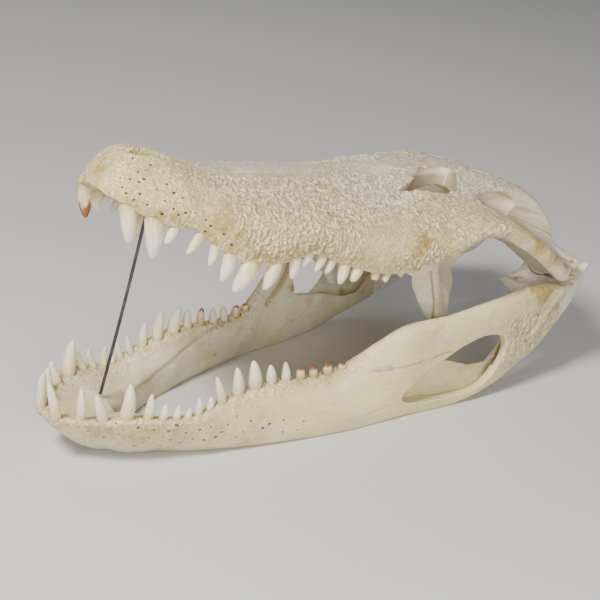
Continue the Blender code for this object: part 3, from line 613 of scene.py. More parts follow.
# %% [markdown]
# ## One even skin
# The cranium and the half jaw are now joined to their inner parts and collars, and remeshed with voxels.
# A voxel skin forgets where one solid ended and the next began, and its even, small faces can carry the
# carving that follows. Sculpting by hand would start at this same point.

# %% Skin the cranium
def make_bar_slit():
    """The narrow gap between the skull table's rear corner and the bar behind the cheek."""
    return slab("bar_slit", [
        (424, [(92.8, 150), (95.2, 150), (95.2, 176), (92.8, 176)]),
        (445, [(92.5, 141), (96.5, 141), (96.5, 172), (92.5, 172)]),
        (500, [(92.5, 136), (96.5, 136), (96.5, 164), (92.5, 164)]),
        (530, [(92.5, 132), (96.5, 132), (96.5, 160), (92.5, 160)]),
    ], 1)


for side in SIDES:
    inner_solids += [collar(tooth) for tooth in teeth["upper", side]]
boolean(cranium, inner_solids, "UNION")
boolean(cranium, both(make_bar_slit()), "DIFFERENCE")
remeshed(cranium, VOXEL, 4)
clock(f"cranium of {len(cranium.data.polygons)} faces")

# %% [markdown]
# ## Windows and pits of the lower jaw
# Behind the tooth row the jaw is hollow for its muscles: an oval window shows from the side, a long pit
# opens inwards behind it, and the joint's cup is scooped from the top.

# %% Cut and skin the half jaw
WINDOWS = {
    "left": [(331, 26), (345, 16.5), (386, 13), (416, 13.5), (436, 21), (453, 42), (458, 58), (450, 73),
             (428, 77), (405, 71), (383, 61), (364, 51.5), (344, 39)],
    "right": [(354, 66), (360, 50), (376, 39), (395, 42), (411, 54), (421, 70), (420, 83), (406, 90),
              (384, 90), (363, 84)],
}


def jaw_window(side):
    """The window in the side of the jaw, which lies higher on the right."""
    return loft("jaw_window", [[(x, SIDES[side] * (98 + 0.14 * (x - 340) + out), z)
                                for x, z in closed_curve(WINDOWS[side], 4)] for out in (0, 70)])


def make_articular():
    """The cup of the jaw joint, on the inner side of the ramus."""
    return slab("cup", [
        (484, [(108, 103), (118, 106), (118, 90), (110, 97)]),
        (500, [(72, 107), (120, 112), (118, 84), (79, 101)]),
        (524, [(66, 105), (120, 108), (116, 62), (77, 85)]),
        (536, [(65, 107), (120, 106), (114, 66), (78, 84)]),
        (546, [(65, 118), (118, 106), (112, 72), (80, 84)]),
        (566, [(86, 110), (112, 108), (110, 84), (92, 86)]),
    ])


def jaw_openings():
    pit = slab("muscle_pit", [
        (346, [(60, 84), (101, 84), (101, 61), (60, 61)]),
        (356, [(60, 150), (108, 140), (108, 59), (60, 55)]),
        (383, [(60, 150), (116, 140), (116, 52), (60, 48)]),
        (406, [(60, 170), (119, 150), (119, 45), (60, 41)]),
        (430, [(60, 170), (121, 150), (121, 35), (60, 32)]),
        (452, [(60, 170), (122, 150), (122, 35), (60, 32)]),
        (464, [(60, 170), (122, 150), (122, 45), (60, 42)]),
        (474, [(60, 170), (121, 150), (120, 57), (60, 54)]),
        (488, [(60, 170), (119, 150), (116, 72), (60, 68)]),
    ], 1)
    pocket = slab("muscle_pocket", [
        (346, [(94, 62), (103, 62), (103, 24), (95, 24)]),
        (380, [(101, 62), (110, 62), (109, 15), (101, 15)]),
        (420, [(107, 62), (117, 62), (116, 16), (107, 16)]),
        (455, [(111, 64), (119, 64), (119, 28), (111, 28)]),
        (474, [(113, 66), (119, 66), (118, 46), (113, 46)]),
    ])
    cup = ball((520, 94, 124), (26, 30, 22))
    foot = prism("foot", [(-60, -60), (700, -60), (700, 200), (-60, 200)], -60, 1.2)
    return [pit, pocket, cup, foot]


boolean(half_jaw, [make_articular()], "UNION")
boolean(half_jaw, jaw_openings(), "DIFFERENCE")
jaws = {"right": half_jaw, "left": mirrored(half_jaw)}
for side, jaw in jaws.items():
    jaw.name = side + "_jaw"
    boolean(jaw, [jaw_window(side)], "DIFFERENCE")
    boolean(jaw, [collar(tooth) for tooth in teeth["lower", side]], "UNION")
    remeshed(jaw, VOXEL, 4)
    print(side, "jaw of", len(jaw.data.polygons), "faces")
clock("jaws skinned")

# %% [markdown]
# ## Noise to carve with
# Alligator bone is famous for its sculpture: worm-like ridges on the snout, grains on the cheek and pits
# on the skull roof. All of them come from smooth noise, bent and stretched. It is worked out with
# arrays, for all points of a mesh at once, because a loop over half a million points is slow.

# %% Smooth noise and fading
GRADIENTS = np.random.default_rng(5).normal(size=(256, 3))
GRADIENTS /= np.linalg.norm(GRADIENTS, axis=1)[:, None]
SHUFFLE = np.random.default_rng(6).permutation(256)


def waves(points, seed=0):
    """Smooth noise between about -1 and 1, with one wave to a unit of length."""
    corner = np.floor(points).astype(np.int64)
    part = points - corner
    ease = part**3 * (part * (part * 6 - 15) + 10)
    total = np.zeros(len(points))
    for i in range(8):
        step = np.array([i & 1, i >> 1 & 1, i >> 2 & 1])
        cell = (corner + step) & 255
        slot = SHUFFLE[(SHUFFLE[(SHUFFLE[(cell[:, 0] + seed) & 255] + cell[:, 1]) & 255] + cell[:, 2]) & 255]
        dot = np.einsum("ij,ij->i", GRADIENTS[slot], part - step)
        share = np.prod(np.where(step, ease, 1 - ease), axis=1)
        total += dot * share
    return total * 1.7


def fade(low, high, value):
    """0 below low, 1 above high, and smooth between; high may lie below low."""
    t = np.clip((value - low) / (high - low), 0, 1)
    return t * t * (3 - 2 * t)


def creased(points, seed=0):
    """Rounded swellings with thin valleys between them, from 0 in a valley to about 1."""
    return np.sqrt(waves(points, seed)**2 + 0.003) * 1.9


print("noise at three places", waves(np.array([[0.3, 0.2, 0.1], [1.4, 2.2, 3.1], [9.5, 0.7, 4.4]])).round(2))

# %% Reading and moving the points of a mesh
def values_of(items, name, width):
    """One property of all items of a mesh, as a row of numbers each."""
    values = np.empty(len(items) * width, np.float32)
    items.foreach_get(name, values)
    return values.reshape(-1, width).astype(float)


def points_of(obj):
    """The points of a mesh, in millimetres, and their normals."""
    return values_of(obj.data.vertices, "co", 3) / MM, values_of(obj.data.vertex_normals, "vector", 3)


def put_points(obj, places):
    obj.data.vertices.foreach_set("co", (places * MM).astype(np.float32).ravel())
    obj.data.update()


def note(obj, name, values):
    """Keeps one number per point, which the materials read by its name."""
    layer = obj.data.attributes.get(name) or obj.data.attributes.new(name, "FLOAT", "POINT")
    layer.data.foreach_set("value", np.asarray(values, np.float32))


def noted(obj, name):
    return values_of(obj.data.attributes[name].data, "value", 1)[:, 0]


def table_at(rows, column, x):
    """One column of a table of stations at many places along x."""
    return np.interp(x, rows[:, 0], rows[:, column])


def near_line(x, z, line, width):
    """1 on a broken line seen from the side or above, fading to 0 beyond its width."""
    nearest = np.full(len(x), 1e9)
    for (x0, z0), (x1, z1) in zip(line, line[1:]):
        span = (x1 - x0, z1 - z0)
        t = np.clip(((x - x0) * span[0] + (z - z0) * span[1]) / (span[0]**2 + span[1]**2), 0, 1)
        nearest = np.minimum(nearest, np.hypot(x - x0 - t * span[0], z - z0 - t * span[1]))
    return np.exp(-(nearest / width)**2)


def near_path(places, path, width):
    """1 on a broken line in space, fading to 0 beyond its width."""
    close = np.all((places > path.min(0) - 3 * width) & (places < path.max(0) + 3 * width), axis=1)
    part = places[close]
    apart = np.full(len(part), 1e9)
    for start, end in zip(path, path[1:]):
        span = end - start
        t = np.clip((part - start) @ span / (span @ span), 0, 1)
        apart = np.minimum(apart, np.linalg.norm(part - start - t[:, None] * span, axis=1))
    found = np.zeros(len(places))
    found[close] = np.exp(-(apart / width)**2)
    return found


print("points can be read and moved")

# %% [markdown]
# ## Carving the cranium
# Where the bone lies decides how it is carved, so each kind of sculpture has its own territory, and
# territories fade into each other. Inner walls, the palate and the jaw struts stay smooth.

# %% Carve the cranium
def skin_height(x, out):
    """Height of the skull's outer skin over each place of the plan."""
    mid, ridge_y, ridge_z, slope_y, slope_z, bulge_y, bulge_z = (table_at(CRANIUM, k, x) for k in range(1, 8))
    high = mid + (ridge_z - mid) * np.clip(out / ridge_y, 0, 1)
    high += (slope_z - ridge_z) * np.clip((out - ridge_y) / (slope_y - ridge_y), 0, 1)
    return high + (bulge_z - slope_z) * np.clip((out - slope_y) / np.maximum(bulge_y - slope_y, 1), 0, 1)


def outer_share(places, normals):
    """1 on the outside of the skull, 0 on inner walls and below the lower margin."""
    x, y, z = places.T
    out = np.abs(y)
    middle = (table_at(CRANIUM, 1, x) + table_at(CRANIUM, 9, x)) / 2
    outward = np.stack([np.zeros_like(x), y, z - middle], 1)
    outward /= np.linalg.norm(outward, axis=1)[:, None] + 1e-6
    facing = np.einsum("ij,ij->i", normals, outward)
    above = fade(table_at(CRANIUM, 9, x) - 4, table_at(CRANIUM, 9, x) + 3, z)
    slope = table_at(CRANIUM, 4, x)
    sunk = fade(4, 8, skin_height(x, out) - z) * fade(slope - 1, slope - 5, out)
    return fade(0.05, 0.5, facing) * fade(-0.85, -0.4, normals[:, 2]) * above * (1 - sunk)


def eye_walls(places):
    """1 on the walls of the two eye sockets."""
    x, y, z = places.T
    return fade(296, 306, x) * fade(396, 386, x) * fade(20, 26, np.abs(y)) * fade(118, 128, z)


def warped(places, size, seed):
    """Three soft noises at each point, to bend a pattern with."""
    return np.stack([waves(places / size, seed + k) for k in range(3)], 1)


def carve_cranium(obj):
    places, normals = points_of(obj)
    x, y, z = places.T
    out = np.abs(y)
    outer = outer_share(places, normals)
    warp = warped(places, 15, 1)
    bent = places + 2.2 * warp
    patches = 0.85 + 0.3 * waves(places / 30, 4)

    worms = creased(bent / (3.3, 6.8, 5.8), 5)
    grains = creased(bent / (3.9, 4.2, 3.9), 6)
    knots = creased(bent / (6.5, 6.0, 6.5), 7)
    streaks = creased((places + 1.5 * warp) / (26, 3.0, 5.0), 8)
    fine = waves(places / 1.9, 9)

    upward = fade(0.25, 0.6, normals[:, 2])
    snout = fade(70, 105, x) * fade(330, 290, x) * fade(18, 34, out)
    cheek = fade(270, 310, x) * fade(420, 375, x) * fade(70, 84, out)
    roof = fade(255, 300, x) * fade(515, 495, x) * fade(90, 78, out) * upward
    top = fade(72, 95, x) * fade(300, 265, x) * fade(44, 30, out)
    tip = fade(100, 70, x)
    worn = 1 - 0.5 * fade(210, 235, x) * fade(290, 265, x) * fade(95, 110, out)

    height = amount = 0.0
    for share, shape in ((1.15 * snout * worn, worms), (0.45 * snout * worn, grains), (0.6 * cheek, grains),
                         (0.5 * cheek, worms), (0.5 * roof, knots), (0.4 * roof, grains),
                         (0.5 * top, streaks), (0.35 * top, grains), (0.55 * tip, grains),
                         (0.35 * tip, knots)):
        height = height + share * shape
        amount = amount + share
    height = (height - 0.52 * amount) * patches
    lumps = 0.5 * waves(places / 22, 10) + 0.25 * waves(places / 9, 11)
    valley = fade(228, 262, x) * fade(312, 298, x) * np.exp(-((out - 72) / 8)**2)
    face = np.exp(-((x - 268) / 32)**2 - ((z - 112) / 20)**2) * fade(88, 100, out)
    height *= 1 - 0.8 * face
    rim = near_line(x, out, ORBIT + ORBIT[:1], 5.0) * outer * upward
    level = 1.7 * height * outer + 0.12 * fine * outer + lumps * (0.35 + 0.65 * outer) * 0.7
    level -= 3.0 * valley * outer
    level += rim * (1.0 + 2.4 * waves(places / 6.5, 12))
    level += 2.6 * np.exp(-((x - 38) / 24)**2 - ((out - 26) / 7)**2) * upward * outer
    put_points(obj, places + normals * level[:, None])
    # Painted shade: the hollow beside the skull table at x 412 and the inner and eye-socket walls (deep) get
    # a lower relief number, so they take the dark valley colour.
    hollow_and_shade = np.exp(-((x - 412) / 26)**2 - ((out - 88) / 10)**2) * fade(60, 150, z)
    deep = (0.12 + 0.6 * eye_walls(places)) * (1 - outer)
    note(obj, "relief", np.clip(height * 1.9, -1, 1) * outer - deep - 0.7 * hollow_and_shade)
    brow = np.exp(-((x - 305) / 36)**2) * fade(84, 70, out)
    note(obj, "worked", np.clip(amount - 0.5 * brow, 0, 1) * outer)


carve_cranium(cranium)
clock("cranium carved")

# %% [markdown]
# ## Carving the jaw
# The jaw is smooth, with faint lengthwise streaks. Only the corner behind the window is rough, in wavy
# lines where muscle held on, and the edge along the teeth is a little knotty.

# %% Carve the two halves
# Grooves on the inner face, seen from the side: points (x, z), width and depth
INNER_LINES = {
    "left": [([(120, 20), (165, 34), (205, 50), (255, 58)], 3.0, 0.7)],
    "right": [([(89, 27), (136, 27), (172, 38), (210, 53), (250, 60)], 3.0, 0.9),
              ([(306, 60), (318, 68), (330, 78), (339, 88), (346, 97)], 3.5, 1.8)],
}


def carve_jaw(obj, side):
    places, normals = points_of(obj)
    x, y, z = places.T
    seed = 20 if side == "left" else 40
    warp = warped(places, 14, seed + 1)
    bent = places + 3.0 * warp
    outside = fade(-0.1, 0.4, normals[:, 1] * np.sign(y))

    slanted = np.stack([(bent[:, 0] - 0.45 * bent[:, 2]) / 3.1, bent[:, 1] / 5, bent[:, 2] / 9], 1)
    rough = creased(slanted, seed + 5)
    streaks = creased((places + 2 * warp) / (38, 4.2, 3.6), seed + 6)
    grains = creased(bent / (4.0, 4.0, 4.0), seed + 7)
    top = table_at(RAMUS, 3, x)
    under = table_at(RAMUS, 4, x)
    corner = fade(440, 470, x) * fade(552, 530, x) * fade(98, 84, z) * outside
    corner *= fade(under + 3, under + 14, z)
    rim = fade(top - 15, top - 3, z) * fade(300, 285, x)
    height = 1.3 * corner * (rough - 0.5) + 0.2 * (streaks - 0.5) + 0.8 * rim * (grains - 0.5)
    lumps = 0.45 * waves(places / 26, seed + 8) + 0.2 * waves(places / 10, seed + 9)
    inside = fade(0.1, -0.4, normals[:, 1] * np.sign(y))
    cut = np.zeros(len(places))
    for line, width, depth in INNER_LINES[side]:
        cut = np.maximum(cut, depth * near_line(x, z, line, width) * inside)
    level = height + lumps * fade(2, 9, z) - cut
    level *= fade(0.5, 2.5, z)
    put_points(obj, places + normals * level[:, None])
    note(obj, "relief", np.clip(corner * (rough - 0.5) * 1.9 + rim * (grains - 0.5) * 1.4 - 0.7 * cut, -1, 1))
    note(obj, "worked", np.clip(corner + 0.5 * rim + 0.45 * fade(230, 120, x) * outside + 0.12, 0, 1))


for side, jaw in jaws.items():
    carve_jaw(jaw, side)
clock("jaws carved")

# %% [markdown]
# ## Pores and sockets
# Nerves and vessels leave the bone through rows of small slanting pores, below the teeth of the lower jaw
# and all over the snout tip. Each one is a small long ball sunk in the surface and cut out. The larger
# pores are marked with the camera; the hidden side gets them mirrored with a little scatter.

# %% Mark the pores with the camera
JAW_PORES = ((88, 431), (95, 434), (110, 428), (118.6, 434), (124, 430), (138, 428), (149, 438),
             (154, 430), (163, 437), (169, 431), (186, 433), (193, 439), (211, 427), (222, 432),
             (237, 416), (236, 437), (251, 421), (263, 428), (283, 432), (284, 420), (304, 421),
             (104, 437), (116, 423), (130, 437), (143, 443), (170, 440), (177, 425), (200, 430),
             (204, 440), (216, 437), (228, 425), (243, 432), (256, 438), (270, 424), (297, 430),
             (134, 446), (160, 446), (180, 443))
SNOUT_PORES = ((151, 165), (138, 172), (144, 179), (130, 179), (139, 182), (122, 187), (126, 193),
               (140, 194), (134, 200), (148, 202), (165, 201), (174, 193), (167, 184), (174, 209),
               (179, 215), (162, 214), (206, 220), (205, 232), (224, 234), (128, 165), (133, 158),
               (146, 170), (158, 190), (147, 205), (171, 178), (183, 198), (196, 213), (186, 213),
               (120, 178), (211, 226), (232, 245))


FAR_AWAY = 400


def pore(spot, normal, radius):
    """A small slanting hole, long along the bone."""
    depth = 2.2 * radius
    deselect()
    bpy.ops.mesh.primitive_uv_sphere_add(segments=10, ring_count=6, radius=1)
    made = bpy.context.object
    tilt = (normal * 1.0 + Vector((-0.5, 0, 0))).normalized()
    turn = tilt.to_track_quat("Z", "Y").to_matrix().to_4x4()
    size = Matrix.Diagonal((radius * MM, radius * MM * 0.8, depth * MM, 1))
    made.data.transform(Matrix.Translation((spot - normal * 0.25 * depth) * MM) @ turn @ size)
    note(made, "relief", [-1.0] * len(made.data.vertices))
    return made


def pores_from_picture(marks, bones, place):
    """Pores at the marks, and on the other side of the animal at mirrored, scattered places."""
    graph = bpy.context.evaluated_depsgraph_get()
    trees = {name: BVHTree.FromObject(bone, graph) for name, bone in bones.items()}
    found = {name: [] for name in bones}
    near, far = (side if side in bones else "both" for side in ("left", "right"))
    for px, py in marks:
        spot, normal = marked(trees[near], place, px, py)
        if spot is None:
            continue
        found[near].append(pore(spot, normal, draw.uniform(1.0, 1.9)))
        beyond = Vector((spot.x + draw.uniform(-5, 5), FAR_AWAY, spot.z + draw.uniform(-3, 3)))
        hit, normal, _, _ = trees[far].ray_cast(beyond * MM, Vector((0, -1, 0)))
        if hit is not None:
            found[far].append(pore(hit / MM, normal, draw.uniform(0.9, 1.7)))
    return found


jaw_pores = pores_from_picture(JAW_PORES, jaws, jaw_place)
snout_pores = pores_from_picture(SNOUT_PORES, {"both": cranium}, cranium_place)
print(sum(map(len, jaw_pores.values())), "pores in the jaw,", len(snout_pores["both"]), "in the snout")

# %% Cut pores and sockets
for side, jaw in jaws.items():
    boolean(jaw, jaw_pores[side] + [socket(tooth) for tooth in teeth["lower", side]], "DIFFERENCE")
holes = snout_pores["both"]
for side in SIDES:
    holes += [socket(tooth) for tooth in teeth["upper", side] + lost[side]]
boolean(cranium, holes, "DIFFERENCE")
clock("pores and sockets cut")

# %% [markdown]
# ## Staining
# Old bone isn't one colour. Grease and tannin gather along the teeth and in thick bone, and dust greys the
# roof. Each point keeps a number for ochre stain and one for grey, from soft spots and from territories.
# Both numbers also carry painted shade on inner walls, eye sockets, the cheek struts and under the chin,
# and painted light in the jaw joint's cup.

# %% Spots of stain
# Each spot: place in the picture, radius in millimetres and strength. Both sides get it, mirrored.
# The spot at (407, 188) paints shade into the front corner of the eye socket, on both sides.
CRANIUM_SPOTS = ((100, 170, 14, 0.8), (104, 158, 12, 0.5), (113, 150, 14, 0.4), (160, 216, 9, 0.9),
                 (175, 219, 10, 0.8), (196, 226, 8, 0.6), (208, 233, 7, 1.0), (216, 240, 6, 0.9),
                 (256, 256, 10, 0.7), (230, 250, 8, 0.6), (345, 243, 14, 0.4), (375, 262, 12, 0.5),
                 (424, 242, 11, 1.0), (420, 252, 10, 0.8), (440, 240, 10, 0.4), (335, 190, 13, 0.6),
                 (413, 177, 8, 0.6), (394, 262, 9, 0.5), (566, 266, 9, 0.8), (572, 274, 6, 1.0),
                 (505, 216, 12, 0.3), (128, 205, 12, 0.3), (407, 188, 6, 1.0), (572, 262, 4, 1.0),
                 (576, 270, 4, 1.0), (560, 258, 6, 0.6), (222, 222, 24, 0.75), (238, 240, 18, 0.7),
                 (150, 172, 22, 0.45), (440, 236, 24, 0.4), (540, 245, 16, 0.8), (556, 258, 14, 0.9),
                 (522, 226, 16, 0.7), (200, 205, 18, 0.45))
JAW_SPOTS = ((92, 424, 8, 0.4), (137, 416, 8, 0.6), (118, 420, 8, 0.4), (538, 293, 10, 1.0),
             (546, 296, 9, 1.0), (551, 290, 8, 1.0), (541, 303, 8, 0.9), (530, 299, 9, 0.6),
             (515, 325, 14, 0.3), (255, 388, 10, 0.4), (300, 383, 10, 0.5), (330, 378, 10, 0.5),
             (290, 420, 8, 0.3), (430, 362, 10, 0.3), (382, 372, 10, 0.3), (100, 432, 22, 0.6),
             (140, 436, 24, 0.6), (180, 436, 22, 0.55), (220, 432, 20, 0.45), (544, 295, 12, 1.3),
             (500, 360, 14, 0.35), (470, 386, 14, 0.3))


# The spot at (362, 292) paints shade on the inner face behind the far window; the one at (342, 293) is a real
# brown residue.
FAR_JAW_SPOTS = ((293, 321, 8, 0.45), (292, 288, 5, 1.0), (342, 293, 7, 0.9), (362, 292, 9, 0.5),
                 (215, 354, 3, 1.0), (240, 330, 9, 0.45), (200, 345, 11, 0.4), (160, 375, 11, 0.35),
                 (120, 395, 12, 0.4), (310, 300, 11, 0.55), (270, 345, 11, 0.35), (230, 360, 11, 0.4))


def spot_centres(spots, tree, place):
    found = []
    for px, py, radius, strength in spots:
        hit, _ = marked(tree, place, px, py)
        if hit is not None:
            found.append((np.array(hit), radius, strength))
            found.append((np.array(hit) * (1, -1, 1), radius * draw.uniform(0.8, 1.2), strength * 0.8))
    return found


def spot_stain(places, centres):
    total = np.zeros(len(places))
    for centre, radius, strength in centres:
        apart = np.sum((places - centre)**2, axis=1) / radius**2
        total = np.maximum(total, strength * np.exp(-apart))
    return total


graph = bpy.context.evaluated_depsgraph_get()
cranium_centres = spot_centres(CRANIUM_SPOTS, BVHTree.FromObject(cranium, graph), cranium_place)
jaw_centres = spot_centres(JAW_SPOTS, BVHTree.FromObject(jaws["left"], graph), jaw_place)
jaw_centres += spot_centres(FAR_JAW_SPOTS, BVHTree.FromObject(jaws["right"], graph), jaw_place)
print(len(cranium_centres), "stains on the cranium,", len(jaw_centres), "on the jaws")

# %% Ochre and grey over whole bones
def tooth_stain(places, rows):
    """Stain round the teeth's necks."""
    total = np.zeros(len(places))
    for tooth in rows:
        apart = np.linalg.norm(places - np.array(tooth["base"]), axis=1) / (tooth["width"] / 2 + 4)
        total = np.maximum(total, 0.75 * np.exp(-apart**2))
    return total


def stain_cranium(obj):
    places, normals = points_of(obj)
    x, y, z = places.T
    edge = table_at(CRANIUM, 9, x)
    outer = outer_share(places, normals)
    low = fade(edge + 28, edge + 2, z) * fade(340, 300, x) * outer
    stain = 0.4 * low + 0.2 * waves(places / 30, 61) + 0.08
    stain = np.maximum(stain, spot_stain(places, cranium_centres))
    stain = np.maximum(stain, tooth_stain(places, teeth["upper", "left"] + teeth["upper", "right"]))
    mid = table_at(CRANIUM, 1, x)
    grey = fade(0.35, 0.85, normals[:, 2]) * fade(75, 130, x) * outer * fade(mid - 48, mid - 14, z)
    grey *= 1 - 0.8 * np.exp(-((x - 305) / 36)**2) * fade(84, 70, np.abs(y))
    # Painted shade: inner faces turned downwards (shaded), the eye-socket walls and the inner face of the
    # cheek strut are stained and greyed darker.
    shaded = (1 - outer) * fade(-0.2, 0.4, -normals[:, 2]) * 0.25
    eye = eye_walls(places) * (1 - outer)
    strut = fade(292, 300, x) * fade(404, 392, x) * fade(76, 82, np.abs(y)) * fade(104, 92, z) * (1 - outer)
    note(obj, "stain", np.clip(stain + 0.22 * strut + 0.15 * eye, 0, 1))
    note(obj, "grey", np.clip(grey * (0.75 + 0.4 * waves(places / 24, 62)) + shaded + 0.9 * eye, 0, 1))


def stain_jaw(obj, side):
    places, normals = points_of(obj)
    x, y, z = places.T
    stain = 0.17 + 0.3 * waves(places / 34, 63)
    stain = np.maximum(stain, spot_stain(places, jaw_centres))
    stain = np.maximum(stain, tooth_stain(places, teeth["lower", side]))
    # Painted shade: the inner faces of the jaw are greyed.
    inside = fade(0.1, -0.4, normals[:, 1] * np.sign(y))
    # Painted light: in the jaw joint's cup the grey number turns the bone a pale bluish white.
    cup = fade(478, 488, x) * fade(550, 540, x) * fade(0.1, 0.5, normals[:, 2]) * fade(120, 112, np.abs(y))
    inside = np.maximum(inside, cup)
    note(obj, "stain", np.clip(stain, 0, 1))
    # Painted shade along the underside of the front of the jaw.
    painted_chin_shade = fade(170, 60, x) * fade(38, 12, z)
    note(obj, "grey", np.clip(0.35 * waves(places / 28, 64) + 0.8 * inside + 0.7 * painted_chin_shade, 0, 1))


stain_cranium(cranium)
for side, jaw in jaws.items():
    stain_jaw(jaw, side)
clock("stained")

# %% [markdown]
# ## Ridges and grooves of this one skull
# Noise gives each bone its texture, but some ridges, grooves and stained seams are this skull's own. They are
# drawn on the picture as short broken lines, carried to the bone by the same rays, and then raised or
# sunk along their length, on the other side of the animal too.

# %% Draw them on the bone
# Each line: points in the picture, then width, height (below zero for a groove) and stain
JAW_LINES = (
    (((573, 283), (568, 293), (561, 302), (552, 313), (545, 324), (537, 336), (530, 346)), 2.8, -2.8, 0.35),
    (((556, 286), (551, 294), (544, 306), (539, 316), (533, 328), (526, 340)), 1.8, -1.4, 0.3),
    (((564, 288), (556, 299), (548, 310), (540, 321), (532, 334)), 3.0, 1.6, 0.0),
    (((504, 277.5), (512, 281), (521, 286), (529, 289)), 1.6, 1.6, 0.0),
    (((507, 276), (514, 274), (520, 272.5), (526, 269)), 1.6, 1.4, 0.0),
    (((514, 277.5), (519, 276), (523, 277)), 1.8, -1.8, 0.5),
    (((369, 373), (384, 371), (398, 369), (416, 364), (436, 357), (453, 351)), 1.1, -0.7, 0.8),
    (((404, 400), (390, 406), (375, 412), (346, 423)), 1.1, -0.6, 0.4),
    (((372, 371), (380, 370), (392, 368)), 3.0, -0.5, 0.6),
)
CRANIUM_LINES = (
    (((431.5, 272), (433, 284), (434, 293), (435, 301), (434, 310), (433, 319)), 1.5, -2.0, 0.6),
    (((436, 274), (442, 283), (446, 290), (446, 302)), 1.6, 1.2, 0.0),
    (((207, 229), (207, 220), (204, 210), (205, 200), (210, 190)), 1.3, -0.8, 0.4),
    (((416, 192), (428, 192.5), (442, 193), (456, 194)), 2.2, 1.2, 0.0),
    (((566, 258), (570, 262), (574, 261)), 1.6, -1.4, 0.8),
    (((570, 274), (575, 276), (578, 272)), 1.6, -1.4, 0.8),
)


def draw_lines(obj, tree, place, lines, sides):
    """Raises, sinks and stains the surface along lines marked in the picture."""
    places, normals = points_of(obj)
    level, stain = np.zeros(len(places)), np.zeros(len(places))
    for marks, width, height, colour in lines:
        hits = [marked(tree, place, px, py)[0] for px, py in marks]
        path = np.array([hit[:] for hit in hits if hit is not None])
        for side in sides if len(path) > 1 else ():
            near = near_path(places, path * (1, side, 1), width)
            level += height * near
            stain = np.maximum(stain, colour * near)
    put_points(obj, places + normals * level[:, None])
    note(obj, "relief", np.clip(noted(obj, "relief") + 0.35 * level, -1, 1))
    note(obj, "stain", np.maximum(noted(obj, "stain"), stain))


graph = bpy.context.evaluated_depsgraph_get()
near_jaw = BVHTree.FromObject(jaws["left"], graph)
draw_lines(cranium, BVHTree.FromObject(cranium, graph), cranium_place, CRANIUM_LINES, (1, -1))
draw_lines(jaws["left"], near_jaw, jaw_place, JAW_LINES, (1,))
draw_lines(jaws["right"], near_jaw, jaw_place, JAW_LINES, (-1,))
clock("lines drawn")

# %% [markdown]
# ## Parting at the sutures
# A skull's bones meet along fine wandering seams. Each bone is taken from the whole with an upright block
# over its outline in plan, or a level block over its outline from the side. The outline is first cut
# into short steps that wander a little, so that no seam runs straight.

# %% Wandering outlines
SEAM = 0.35
SUTURE_STEP = 2.6
noise.seed_set(11)  # Blender's noise otherwise starts from the clock, and no two runs share their sutures


def wandering(outline, reach, seed):
    """The outline in short steps, each pushed aside as a suture wanders."""
    found = []
    for start, end in zip(outline, outline[1:] + outline[:1]):
        steps = max(1, round(math.dist(start, end) / SUTURE_STEP))
        for k in range(steps):
            u = start[0] + (end[0] - start[0]) * k / steps
            v = start[1] + (end[1] - start[1]) * k / steps
            sway = noise.noise_vector(Vector((u / 7, v / 7, seed)))
            sway += 0.7 * noise.noise_vector(Vector((u / 3, v / 3, seed)))
            found.append((u + reach * sway.x, v + reach * sway.y))
    return found


def outline_offset(outline, distance):
    """The same outline, moved outwards by a distance all round."""
    points = np.array(outline, float)
    following = np.roll(points, -1, axis=0)
    area = np.sum(points[:, 0] * following[:, 1] - following[:, 0] * points[:, 1])
    edges = following - points
    normals = np.stack([edges[:, 1], -edges[:, 0]], 1) * np.sign(area)
    normals /= np.linalg.norm(normals, axis=1)[:, None]
    earlier = np.roll(normals, 1, axis=0)
    mitre = (normals + earlier) / np.maximum(1 + np.sum(normals * earlier, axis=1), 0.3)[:, None]
    return (points + mitre * distance).tolist()


def plan_region(outline, low, high, reach, seed):
    """A region seen from above, as a function of how much larger than true it is made."""
    line = wandering(outline, reach, seed)
    def made(grow):
        levels = [(lambda x, level=level, move=move: (level(x) if callable(level) else level) + move)
                  for level, move in ((low, -grow), (high, grow))]
        return prism("region", outline_offset(line, grow), *levels)
    return made


def side_region(outline, near, far, reach, seed):
    """A region seen from the side, between two distances from the midline."""
    line = wandering(outline, reach, seed)
    def made(grow):
        grown = outline_offset(line, grow)
        return loft("region", [[(x, y, z) for x, z in grown] for y in (near - grow, far + grow)])
    return made


def part_off(name, whole, region):
    """Takes the bone inside a region from the whole and leaves a seam between them."""
    piece = copied(whole)
    piece.name = name
    inner, outer = region(-SEAM / 2), region(SEAM / 2)
    for block in (inner, outer):
        note(block, "relief", [-0.8] * len(block.data.vertices))
        note(block, "stain", [0.4] * len(block.data.vertices))
    applied(piece, "BOOLEAN", operation="INTERSECT", solver="MANIFOLD", object=inner)
    drop(inner)
    boolean(whole, [outer], "DIFFERENCE")
    return piece


print("seams of", SEAM, "mm")

# %% Outlines of the cranium's bones
def sloped(x0, z0, x1, z1):
    return lambda x: z0 + (z1 - z0) * (x - x0) / (x1 - x0)


PREMAXILLA = [(-30, 0), (84, 0), (84, 14), (74, 30), (64, 50), (60, 100), (-30, 100)]
NASAL = [(84, -14), (84, 14), (110, 17), (170, 18), (230, 15), (262, 5), (262, -5), (230, -15),
         (170, -18), (110, -17)]
MAXILLA = [(50, 0), (268, 0), (236, 30), (232, 62), (262, 84), (308, 118), (312, 150), (50, 150)]
BROW = [(200, -82), (304, -82), (325, -60), (374, -50), (386, -36), (388, 0), (386, 36), (374, 50), (325, 60),
        (304, 82), (200, 82)]
TABLE = [(370, -94), (540, -94), (540, 94), (370, 94)]
JUGAL = [(230, 60), (360, 60), (400, 84), (452, 100), (462, 160), (230, 160)]
STRUT_PLAN = [(300, 150), (300, 96), (320, 94), (344, 88), (366, 82), (386, 78), (420, 76), (420, 150)]
MIDLINE_LAP = -14


